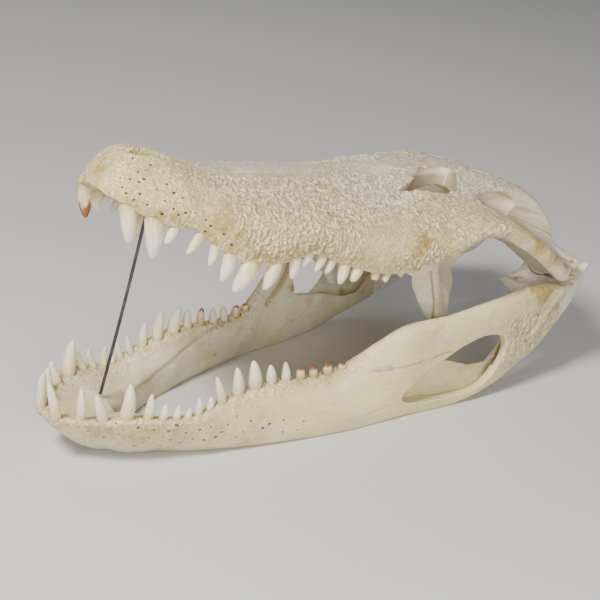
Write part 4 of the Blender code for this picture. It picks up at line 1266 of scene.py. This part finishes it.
def turned_out(outline, side):
    """The outline on one side. The right bone, parted second, also takes what is left at the midline."""
    if side == "left":
        return [(x, -y) for x, y in outline]
    return [(x, MIDLINE_LAP if y == 0 else y) for x, y in outline]


def part_cranium(whole):
    bones = {}

    def part(name, outline, low=0.0, high=300.0, reach=1.2):
        bones[name] = part_off(name, whole, plan_region(outline, low, high, reach, len(bones)))

    part("nasal_bones", NASAL, sloped(84, 104, 262, 136))
    part("palate_bar", [(196, -27), (346, -27), (346, 27), (196, 27)], 50, 112)
    for side in SIDES:
        part(side + "_cheek_strut", turned_out(STRUT_PLAN, side), 0, sloped(306, 90, 346, 108), 0.5)
    part("pterygoid_wings", [(300, -96), (470, -96), (470, 96), (300, 96)], 0,
         sloped(346, 112, 452, 108), 0.5)
    for side in SIDES:
        part(side + "_premaxilla", turned_out(PREMAXILLA, side))
        part(side + "_maxilla", turned_out(MAXILLA, side))
    part("brow_bones", BROW, 120)
    part("skull_roof", TABLE, sloped(390, 161, 525, 146))
    for side in SIDES:
        part(side + "_jugal", turned_out(JUGAL, side))
    part("brain_case", [(350, -30), (520, -30), (520, 30), (350, 30)], 0, 300, 0.5)
    for side in SIDES:
        part(side + "_quadrate", turned_out([(380, 24), (560, 24), (560, 160), (380, 160)], side))
    print("left over:", len(whole.data.polygons), "faces")
    drop(whole)
    return bones


bones = part_cranium(cranium)
clock(f"{len(bones)} bones of the cranium")

# %% Part the lower jaw
ARTICULAR = [(480, 40), (480, 112), (540, 115), (556, 160), (640, 160), (640, 40)]
DENTARY = [(-40, -20), (277, -20), (277, 3), (307, 13), (338, 21), (345, 27), (380, 44), (398, 57),
           (399, 64), (352, 60), (305, 63), (286, 86), (270, 120), (-40, 120)]
ANGULAR = [(200, -20), (200, 28), (345, 27), (380, 44), (398, 50), (450, 50), (458, 46), (500, 51),
           (560, 74), (600, 100), (620, -20)]


JOINT_ROOM = 1.5


def jaw_rooms(side):
    """Room for the two knobs of the opened joint, a little larger than they are."""
    hollows = JAW_KNOBS + (((516, 100, 122), (17, 30, 17)),)
    if side == "right":
        hollows += (((512, 126, 112), (28, 18, 12)),)
    rooms = []
    for centre, radii in hollows:
        room = ball(Vector(centre) * Vector((1, SIDES[side], 1)), [r + JOINT_ROOM for r in radii])
        room.data.transform(jaw_place.inverted() @ cranium_place)
        rooms.append(room)
    return rooms


jaw_bones = {}
for side, jaw in jaws.items():
    boolean(jaw, jaw_rooms(side), "DIFFERENCE")
    reach = (-200.0, 2.0) if side == "left" else (-2.0, 200.0)
    regions = (("articular", plan_region(turned_out(ARTICULAR, side), -100, 400, 0.6, 3)),
               ("dentary", side_region(DENTARY, *reach, 1.0, 4)),
               ("angular", side_region(ANGULAR, *reach, 1.0, 5)))
    for word, region in regions:
        jaw_bones[f"{side}_{word}"] = part_off(f"{side}_{word}", jaw, region)
    jaw.name = f"{side}_surangular"
    jaw_bones[jaw.name] = jaw
clock(f"{len(jaw_bones)} bones of the lower jaw")

# %% [markdown]
# ## One tooth, copied
# An alligator's tooth is a stout cone with a rounded tip that bows slightly outwards. It is drawn up from
# a disc by extruding and narrowing it again and again, once, one unit tall. Each copy is then stretched,
# leaned and bowed to its own record.

# %% Model the crown
TOOTH_SIDES = 20
# Height and width of each ring, from the root's end at -1, through the neck at 0, to the tip at 1
TOOTH_RINGS = ((-1.0, 0.70), (-0.5, 0.90), (-0.12, 1.0), (0.0, 1.03), (0.12, 1.06), (0.28, 1.05),
               (0.44, 0.99), (0.58, 0.90), (0.70, 0.79), (0.80, 0.66), (0.88, 0.52), (0.94, 0.37),
               (0.975, 0.24), (0.995, 0.10))


def model_tooth():
    deselect()
    bpy.ops.mesh.primitive_circle_add(vertices=TOOTH_SIDES, radius=TOOTH_RINGS[0][1] / 2, fill_type="NGON",
                                      location=(0, 0, TOOTH_RINGS[0][0]))
    bpy.ops.object.transform_apply(location=True)
    bpy.ops.object.mode_set(mode="EDIT")
    bpy.ops.mesh.select_all(action="SELECT")
    for (low, wide), (high, narrow) in zip(TOOTH_RINGS, TOOTH_RINGS[1:]):
        bpy.ops.mesh.extrude_region_move(TRANSFORM_OT_translate={"value": (0, 0, high - low)})
        bpy.ops.transform.resize(value=(narrow / wide, narrow / wide, 1), center_override=(0, 0, high))
    bpy.ops.mesh.select_all(action="SELECT")
    bpy.ops.mesh.normals_make_consistent(inside=False)
    bpy.ops.object.mode_set(mode="OBJECT")
    return bpy.context.object


pattern_tooth = model_tooth()
print("pattern tooth:", len(pattern_tooth.data.vertices), "points, top at",
      round(max(v.co.z for v in pattern_tooth.data.vertices), 3))

# %% Set the teeth
BOW = 0.07
BLUNT_BELOW = 20


def set_tooth(record, seed):
    """One copy of the tooth, fitted to its record."""
    unit = np.array([v.co[:] for v in pattern_tooth.data.vertices])
    axis = record["axis"]
    across = axis.cross(Vector((0, 1, 0))).normalized()
    side = axis.cross(across)
    base, root = np.array(record["base"]), np.array(record["root"])
    along_tooth = unit[:, 2]
    up = np.clip(along_tooth, 0, 1)
    down = np.clip(-along_tooth, 0, 1)
    outward = math.copysign(1.0, record["base"].y) * np.array((0.15, 1.0, 0))
    worn = record["stain"] if record["length"] < BLUNT_BELOW else 0.0
    blunt = 1 - 0.16 * worn * fade(0.6, 1.0, up)
    width = record["width"] * (1 + 0.03 * waves(unit * 2.3 + seed, seed))
    places = base + np.outer(up * blunt * record["length"], axis) + np.outer(down, root)
    places += np.outer(unit[:, 0] * width, across) + np.outer(unit[:, 1] * width * 0.93, side)
    places += np.outer(4 * up * (1 - up) * BOW * record["length"], outward)
    made = copied(pattern_tooth)
    put_points(made, places)
    note(made, "crown", along_tooth)
    note(made, "stain", np.full(len(unit), record["stain"]))
    note(made, "grey", np.full(len(unit), (seed * 37 % 10) / 10))
    return made


def set_row(name, row, seed):
    """All teeth of one side of one jaw, joined into one piece and rounded by subdivision."""
    made = [set_tooth(record, seed + i) for i, record in enumerate(row)]
    deselect()
    for tooth in made:
        tooth.select_set(True)
    bpy.context.view_layer.objects.active = made[0]
    bpy.ops.object.join()
    made[0].name = name
    applied(made[0], "SUBSURF", levels=1, render_levels=1)
    return made[0]


tooth_rows = {}
for number, ((jaw_word, side), row) in enumerate(teeth.items()):
    tooth_rows[jaw_word, side] = set_row(f"{side}_{jaw_word}_teeth", row, 100 * number + 1)
drop(pattern_tooth)
clock(f"{len(tooth_rows)} rows of teeth")

# %% [markdown]
# ## The rod that keeps the jaws apart
# A thin dark metal rod stands on the chin and holds up the palate. It is a slim cylinder cut into
# lengths, bowed very slightly, with its cut ends bevelled.

# %% Make the rod
ROD_RADIUS = 1.6
ROD_BOW = 1.2
ROD_LENGTHS = 12
rod_foot = jaw_place @ (Vector((60, 16, 46)) * MM)
rod_head = cranium_place @ (Vector((70, 16, 74)) * MM)


def make_rod():
    deselect()
    line = rod_head - rod_foot
    bpy.ops.mesh.primitive_cylinder_add(vertices=24, radius=ROD_RADIUS * MM, depth=line.length)
    rod = bpy.context.object
    bpy.ops.object.mode_set(mode="EDIT")
    for k in range(1, ROD_LENGTHS):
        height = (k / ROD_LENGTHS - 0.5) * line.length
        bpy.ops.mesh.select_all(action="SELECT")
        bpy.ops.mesh.bisect(plane_co=(0, 0, height), plane_no=(0, 0, 1))
    bpy.ops.object.mode_set(mode="OBJECT")
    turn = line.to_track_quat("Z", "Y").to_matrix().to_4x4()
    rod.data.transform(Matrix.Translation((rod_foot + rod_head) / 2) @ turn)
    for vert in rod.data.vertices:
        t = (vert.co - rod_foot).dot(line) / line.length_squared
        vert.co.x += math.sin(math.pi * min(max(t, 0), 1)) * ROD_BOW * MM
    applied(rod, "BEVEL", width=0.4 * MM, segments=2, limit_method="ANGLE")
    rod.name = "dark_prop_rod"
    return rod


rod = make_rod()
print("rod of", round((rod_head - rod_foot).length / MM), "mm")

# %% [markdown]
# ## Open the jaws
# Every piece of the cranium takes the opening matrix and every piece of the lower jaw the plain one. The
# matrix goes into the mesh itself, so that each object stays at the origin, unturned.

# %% Place all pieces
for bone in bones.values():
    bone.data.transform(cranium_place)
for bone in jaw_bones.values():
    bone.data.transform(jaw_place)
for (jaw_word, side), row in tooth_rows.items():
    row.data.transform(cranium_place if jaw_word == "upper" else jaw_place)
all_pieces = list(bones.values()) + list(jaw_bones.values()) + list(tooth_rows.values())
for piece in all_pieces + [rod]:
    choose(piece)
    bpy.ops.object.shade_smooth_by_angle(angle=math.radians(60))
clock("jaws opened")

# %% [markdown]
# ## Bone
# All bone shares one shader group, which turns the numbers kept on the points into colour, shine and a
# fine grain: valleys are brown, and the same brown is painted shade in hollows and on inner walls; crests
# are pale, partly worn bone and partly a painted highlight; stain and grey break up in noise, and grey is
# also painted shade on inner faces and painted light in the joint's cup. Each material then gives the group
# its own colours and keeps its own main shader.

# %% The shared bone group
def socket_value(group, name, kind, default=None, where="INPUT"):
    made = group.interface.new_socket(name=name, in_out=where, socket_type=kind)
    if default is not None:
        made.default_value = default
    return made


def mixed(tree, kind, factor, first, second):
    """A colour mixing node with its three inputs linked or set."""
    node = tree.nodes.new("ShaderNodeMix")
    node.data_type = "RGBA"
    node.blend_type = kind
    for slot, value in ((0, factor), (6, first), (7, second)):
        if isinstance(value, bpy.types.NodeSocket):
            tree.links.new(value, node.inputs[slot])
        else:
            node.inputs[slot].default_value = value
    return node.outputs[2]


def ranged(tree, value, low, high, to_low=0.0, to_high=1.0):
    """Maps one range of a value smoothly to another."""
    node = tree.nodes.new("ShaderNodeMapRange")
    node.interpolation_type = "SMOOTHSTEP"
    tree.links.new(value, node.inputs["Value"])
    for name, number in (("From Min", low), ("From Max", high), ("To Min", to_low), ("To Max", to_high)):
        node.inputs[name].default_value = number
    return node.outputs["Result"]


def maths(tree, operation, first, second, clamp=False):
    node = tree.nodes.new("ShaderNodeMath")
    node.operation = operation
    node.use_clamp = clamp
    for slot, value in enumerate((first, second)):
        if isinstance(value, bpy.types.NodeSocket):
            tree.links.new(value, node.inputs[slot])
        else:
            node.inputs[slot].default_value = value
    return node.outputs[0]


def times(tree, first, second, clamp=False):
    return maths(tree, "MULTIPLY", first, second, clamp)


def plus(tree, first, second):
    return maths(tree, "ADD", first, second)


def grain(tree, scale, detail, stretch=(1, 1, 1), roughness=0.55):
    """Noise over the object's own coordinates, stretched along its axes."""
    place = tree.nodes.new("ShaderNodeTexCoord")
    mapping = tree.nodes.new("ShaderNodeMapping")
    mapping.inputs["Scale"].default_value = stretch
    node = tree.nodes.new("ShaderNodeTexNoise")
    node.inputs["Scale"].default_value = scale
    node.inputs["Detail"].default_value = detail
    node.inputs["Roughness"].default_value = roughness
    tree.links.new(place.outputs["Object"], mapping.inputs["Vector"])
    tree.links.new(mapping.outputs["Vector"], node.inputs["Vector"])
    return node.outputs["Fac"]


FOLD_TOP = (0.93, 0.88, 0.74, 1)
# Pale colour of worn crests, partly a painted highlight on the ridges.
CREST_AND_HIGHLIGHT = (0.92, 0.85, 0.62, 1)
PLAIN = (1, 1, 1, 1)


def make_bone_group():
    group = bpy.data.node_groups.new("old_bone", "ShaderNodeTree")
    # The grey colour paints dust, and also painted shade on inner faces and painted light in the jaw joint's
    # cup.
    for name, default in (("Bone", (0.8, 0.75, 0.62, 1)), ("Valley", (0.4, 0.3, 0.16, 1)),
                          ("Ochre", (0.55, 0.36, 0.14, 1)), ("Dust", (0.5, 0.45, 0.43, 1))):
        socket_value(group, name, "NodeSocketColor", default)
    for name in ("Relief", "Stain", "Grey", "Worked"):
        socket_value(group, name, "NodeSocketFloat", 0.0)
    socket_value(group, "Colour", "NodeSocketColor", where="OUTPUT")
    socket_value(group, "Roughness", "NodeSocketFloat", where="OUTPUT")
    socket_value(group, "Height", "NodeSocketFloat", where="OUTPUT")
    given = group.nodes.new("NodeGroupInput").outputs
    taken = group.nodes.new("NodeGroupOutput").inputs

    broad = grain(group, 26, 4)
    close = grain(group, 150, 6, roughness=0.65)
    grit = grain(group, 620, 4, roughness=0.7)
    lines = grain(group, 55, 5, (1.0, 6.0, 6.0))
    folds = maths(group, "SUBTRACT", grain(group, 300, 2, (1.15, 0.7, 0.8)), 0.5)
    folds = ranged(group, maths(group, "ABSOLUTE", folds, 0.0), 0.0, 0.11)
    dips = times(group, maths(group, "SUBTRACT", 1.0, folds), given["Worked"])
    tops = times(group, folds, given["Worked"])

    # Low relief takes the valley colour, which is also painted shade on inner walls and in hollows.
    hollow_and_shade = ranged(group, given["Relief"], 0.05, -0.9, 0.0, 0.8)
    # High relief takes the pale crest colour, partly a painted highlight.
    crest = ranged(group, given["Relief"], 0.15, 0.9, 0.0, 0.4)
    stain = times(group, given["Stain"], ranged(group, close, 0.3, 0.68, 0.55, 1.25), clamp=True)
    grey = times(group, given["Grey"], ranged(group, broad, 0.3, 0.7, 0.55, 1.1), clamp=True)

    colour = given["Bone"]
    for share, tint in ((times(group, grey, 0.8), given["Dust"]), (hollow_and_shade, given["Valley"]),
                        (times(group, dips, 0.5), given["Valley"]), (times(group, tops, 0.22), FOLD_TOP),
                        (crest, CREST_AND_HIGHLIGHT), (ranged(group, stain, 0.06, 0.95, 0.0, 0.85), given["Ochre"])):
        colour = mixed(group, "MIX", share, colour, tint)
    for noise_of, low, high, first, second, share in (
        (broad, 0.3, 0.7, (0.90, 0.89, 0.86, 1), (1.04, 1.04, 1.04, 1), 1.0),
        (lines, 0.42, 0.62, (0.93, 0.915, 0.88, 1), PLAIN, 0.8),
        (grit, 0.60, 0.76, PLAIN, (0.84, 0.79, 0.70, 1), 0.6),
    ):
        shade = mixed(group, "MIX", ranged(group, noise_of, low, high), first, second)
        colour = mixed(group, "MULTIPLY", share, colour, shade)
    group.links.new(colour, taken["Colour"])

    rough = plus(group, ranged(group, close, 0.25, 0.75, 0.44, 0.6), times(group, hollow_and_shade, 0.2))
    group.links.new(rough, taken["Roughness"])
    height = plus(group, times(group, close, 0.6), times(group, grit, 0.4))
    height = plus(group, height, times(group, tops, 1.1))
    group.links.new(plus(group, height, times(group, lines, 0.5)), taken["Height"])
    return group


bone_group = make_bone_group()
print("bone group has", len(bone_group.nodes), "nodes")

# %% Bone materials
def attribute(tree, name):
    node = tree.nodes.new("ShaderNodeAttribute")
    node.attribute_name = name
    return node.outputs["Fac"]


def new_material(name):
    made = bpy.data.materials.new(name)
    made.use_nodes = True
    return made, made.node_tree, made.node_tree.nodes["Principled BSDF"]


# The grey colour given here also paints shade on inner faces and, for the cup, light; the valley colour also
# paints shade.
def bone_material(name, bone, valley, ochre, dust_shade_and_light, bump):
    made, tree, shader = new_material(name)
    group = tree.nodes.new("ShaderNodeGroup")
    group.node_tree = bone_group
    for slot, colour in (("Bone", bone), ("Valley", valley), ("Ochre", ochre), ("Dust", dust_shade_and_light)):
        group.inputs[slot].default_value = (*colour, 1)
    for slot, layer in (("Relief", "relief"), ("Stain", "stain"), ("Grey", "grey"), ("Worked", "worked")):
        tree.links.new(attribute(tree, layer), group.inputs[slot])
    relief = tree.nodes.new("ShaderNodeBump")
    relief.inputs["Distance"].default_value = 0.0008
    relief.inputs["Strength"].default_value = bump
    tree.links.new(group.outputs["Height"], relief.inputs["Height"])
    tree.links.new(relief.outputs["Normal"], shader.inputs["Normal"])
    tree.links.new(group.outputs["Colour"], shader.inputs["Base Color"])
    tree.links.new(group.outputs["Roughness"], shader.inputs["Roughness"])
    shader.inputs["Specular IOR Level"].default_value = 0.4
    return made


# The valley colours also paint shade in hollows and on inner walls, and the grey colours also paint shade on
# inner faces.
VALLEY_AND_SHADE = (0.34, 0.23, 0.09)
OCHRE = (0.39, 0.26, 0.06)
DUST_AND_SHADE = (0.60, 0.54, 0.47)
snout_bone = bone_material("snout_bone", (0.79, 0.68, 0.33), VALLEY_AND_SHADE, OCHRE, DUST_AND_SHADE, 0.6)
roof_bone = bone_material("roof_bone", (0.80, 0.73, 0.52), (0.36, 0.27, 0.16), OCHRE, DUST_AND_SHADE, 0.65)
jaw_bone = bone_material("jaw_bone", (0.79, 0.72, 0.39), (0.40, 0.29, 0.12), OCHRE, (0.66, 0.66, 0.58), 0.4)
inner_bone = bone_material("inner_bone", (0.80, 0.73, 0.55), VALLEY_AND_SHADE, OCHRE, (0.60, 0.60, 0.60), 0.45)
# Painted light: the cup's bone is paler and its grey a bluish white, as if the cup were brightly lit.
cup_bone = bone_material("cup_bone", (0.88, 0.84, 0.70), VALLEY_AND_SHADE, OCHRE, (0.86, 0.88, 0.89), 0.4)
print("five kinds of bone")

# %% [markdown]
# ## Ivory
# Tooth ivory is whiter and smoother than bone, creamier at the neck, with faint lengthwise lines. Worn teeth
# show orange-brown tips. The height up the crown, kept on each point, places all of that.

# %% The ivory material
def make_ivory():
    made, tree, shader = new_material("tooth_ivory")
    crown = attribute(tree, "crown")
    stain = attribute(tree, "stain")
    tone = attribute(tree, "grey")
    broad = grain(tree, 130, 4)
    lines = grain(tree, 420, 4, (1.0, 1.0, 0.14))
    high = ranged(tree, plus(tree, crown, times(tree, broad, 0.35)), 0.15, 0.85)
    colour = mixed(tree, "MIX", high, (0.76, 0.64, 0.38, 1), (0.86, 0.81, 0.66, 1))
    warm = mixed(tree, "MIX", tone, (1.0, 1.0, 1.0, 1), (1.0, 0.95, 0.84, 1))
    colour = mixed(tree, "MULTIPLY", 1.0, colour, warm)
    fine = mixed(tree, "MIX", ranged(tree, lines, 0.4, 0.65), (0.94, 0.93, 0.90, 1), (1, 1, 1, 1))
    colour = mixed(tree, "MULTIPLY", 1.0, colour, fine)
    uneven = plus(tree, times(tree, broad, 0.4), times(tree, lines, 0.7))
    level = plus(tree, plus(tree, crown, times(tree, stain, 0.5)), uneven)
    mask = times(tree, ranged(tree, level, 1.58, 1.85), ranged(tree, stain, 0.05, 0.6), clamp=True)
    colour = mixed(tree, "MIX", mask, colour, (0.27, 0.10, 0.025, 1))
    worn = times(tree, ranged(tree, crown, 0.85, 0.25, 0.0, 0.8), ranged(tree, stain, 0.2, 0.8))
    worn = times(tree, worn, ranged(tree, stain, 1.3, 1.1))
    colour = mixed(tree, "MIX", worn, colour, (0.52, 0.37, 0.14, 1))
    neck = ranged(tree, crown, 0.16, -0.12, 0.0, 0.75)
    colour = mixed(tree, "MIX", neck, colour, (0.50, 0.38, 0.20, 1))
    tree.links.new(colour, shader.inputs["Base Color"])
    tree.links.new(ranged(tree, broad, 0.3, 0.7, 0.24, 0.38), shader.inputs["Roughness"])
    bump = tree.nodes.new("ShaderNodeBump")
    bump.inputs["Distance"].default_value = 0.0005
    bump.inputs["Strength"].default_value = 0.25
    tree.links.new(lines, bump.inputs["Height"])
    tree.links.new(bump.outputs["Normal"], shader.inputs["Normal"])
    return made


def make_rod_metal():
    made, tree, shader = new_material("dark_rod_metal")
    patches = grain(tree, 90, 5)
    rust = ranged(tree, patches, 0.4, 0.65)
    colour = mixed(tree, "MIX", rust, (0.075, 0.075, 0.08, 1), (0.13, 0.115, 0.10, 1))
    tree.links.new(colour, shader.inputs["Base Color"])
    tree.links.new(ranged(tree, patches, 0.3, 0.7, 0.35, 0.6), shader.inputs["Roughness"])
    shader.inputs["Metallic"].default_value = 0.85
    return made


ivory = make_ivory()
rod_metal = make_rod_metal()
print("ivory and rod metal ready")

# %% [markdown]
# ## Dress the pieces
# Each piece stands for one solid of the imported part and takes one of the finishes.
# The whole skull is one body, so that everything rides on it.

# %% Materials and bodies
STANDS_FOR = {"nasal_bones": "nasals", "palate_bar": "palatines", "pterygoid_wings": "pterygoid",
              "brow_bones": "brow", "skull_roof": "skull_table", "brain_case": "braincase"}
SIDED = {"cheek_strut": "ectopterygoid"}
ROOFS = ("nasal_bones", "brow_bones", "skull_roof")
SMOOTH = ("palate_bar", "pterygoid_wings", "brain_case", "cheek_strut", "quadrate")


def node_of(name):
    side, _, word = name.partition("_")
    return STANDS_FOR.get(name) or f"{SIDED.get(word, word)}_{side}"


def dress(piece, finish):
    piece.data.materials.clear()
    piece.data.materials.append(finish)
    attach(piece, "root")


for name, piece in {**bones, **jaw_bones}.items():
    if name in ROOFS:
        finish, slot = roof_bone, "weathered_bone"
    elif any(word in name for word in SMOOTH):
        finish, slot = inner_bone, "bone"
    elif "articular" in name:
        finish, slot = cup_bone, "bone"
    elif name in jaw_bones:
        finish, slot = jaw_bone, "toothed_bone" if "dentary" in name else "bone"
    else:
        finish, slot = snout_bone, "bone" if "jugal" in name else "toothed_bone"
    dress(piece, finish)
    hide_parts(node_of(name))
for row in tooth_rows.values():
    dress(row, ivory)
dress(rod, rod_metal)
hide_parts("prop_rod")
triangles = {piece.name: sum(len(face.vertices) - 2 for face in piece.data.polygons) for piece in all_pieces}
print(sum(triangles.values()), "triangles; largest", max(triangles.items(), key=lambda item: item[1]))

# %% [markdown]
# ## Floor and light
# A plain pale floor and soft studio light. The key comes from above the snout and is fairly small, so
# that the carving throws small shadows. A broad fill stands beside the camera, a faint light behind, and
# the surround is even.

# %% Stage and light
FLOOR_SIZE = 12.0
deselect()
bpy.ops.mesh.primitive_plane_add(size=FLOOR_SIZE, location=(0, 0, -0.0002))
floor = bpy.context.object
floor.name = "pale_floor"
floor_finish, _, floor_shader = new_material("pale_floor")
floor_shader.inputs["Base Color"].default_value = (0.66, 0.65, 0.63, 1)
floor_shader.inputs["Roughness"].default_value = 0.8
floor.data.materials.append(floor_finish)


def softbox(name, place, size, power, colour):
    deselect()
    bpy.ops.object.light_add(type="AREA", location=place)
    light = bpy.context.object
    light.name = name
    light.data.size = size
    light.data.energy = power
    light.data.color = colour
    light.rotation_euler = (-Vector(place)).to_track_quat("-Z", "Y").to_euler()


# Each light: name, place, size in metres, power in watts, colour
for light_row in (("key", (-1.2, -0.4, 1.6), 0.4, 50, (1.0, 0.98, 0.94)),
                  ("fill", (-0.75, -1.7, 0.7), 0.8, 24, (0.98, 0.98, 1.0)),
                  ("back", (0.5, 1.9, 1.5), 1.2, 8, (1.0, 0.98, 0.96))):
    softbox(*light_row)
world = bpy.data.worlds.new("studio")
bpy.context.scene.world = world
world.use_nodes = True
surround = world.node_tree.nodes["Background"].inputs
surround["Color"].default_value = (0.82, 0.84, 0.87, 1)
surround["Strength"].default_value = 0.22
print("stage set")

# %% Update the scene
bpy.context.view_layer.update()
clock("done")
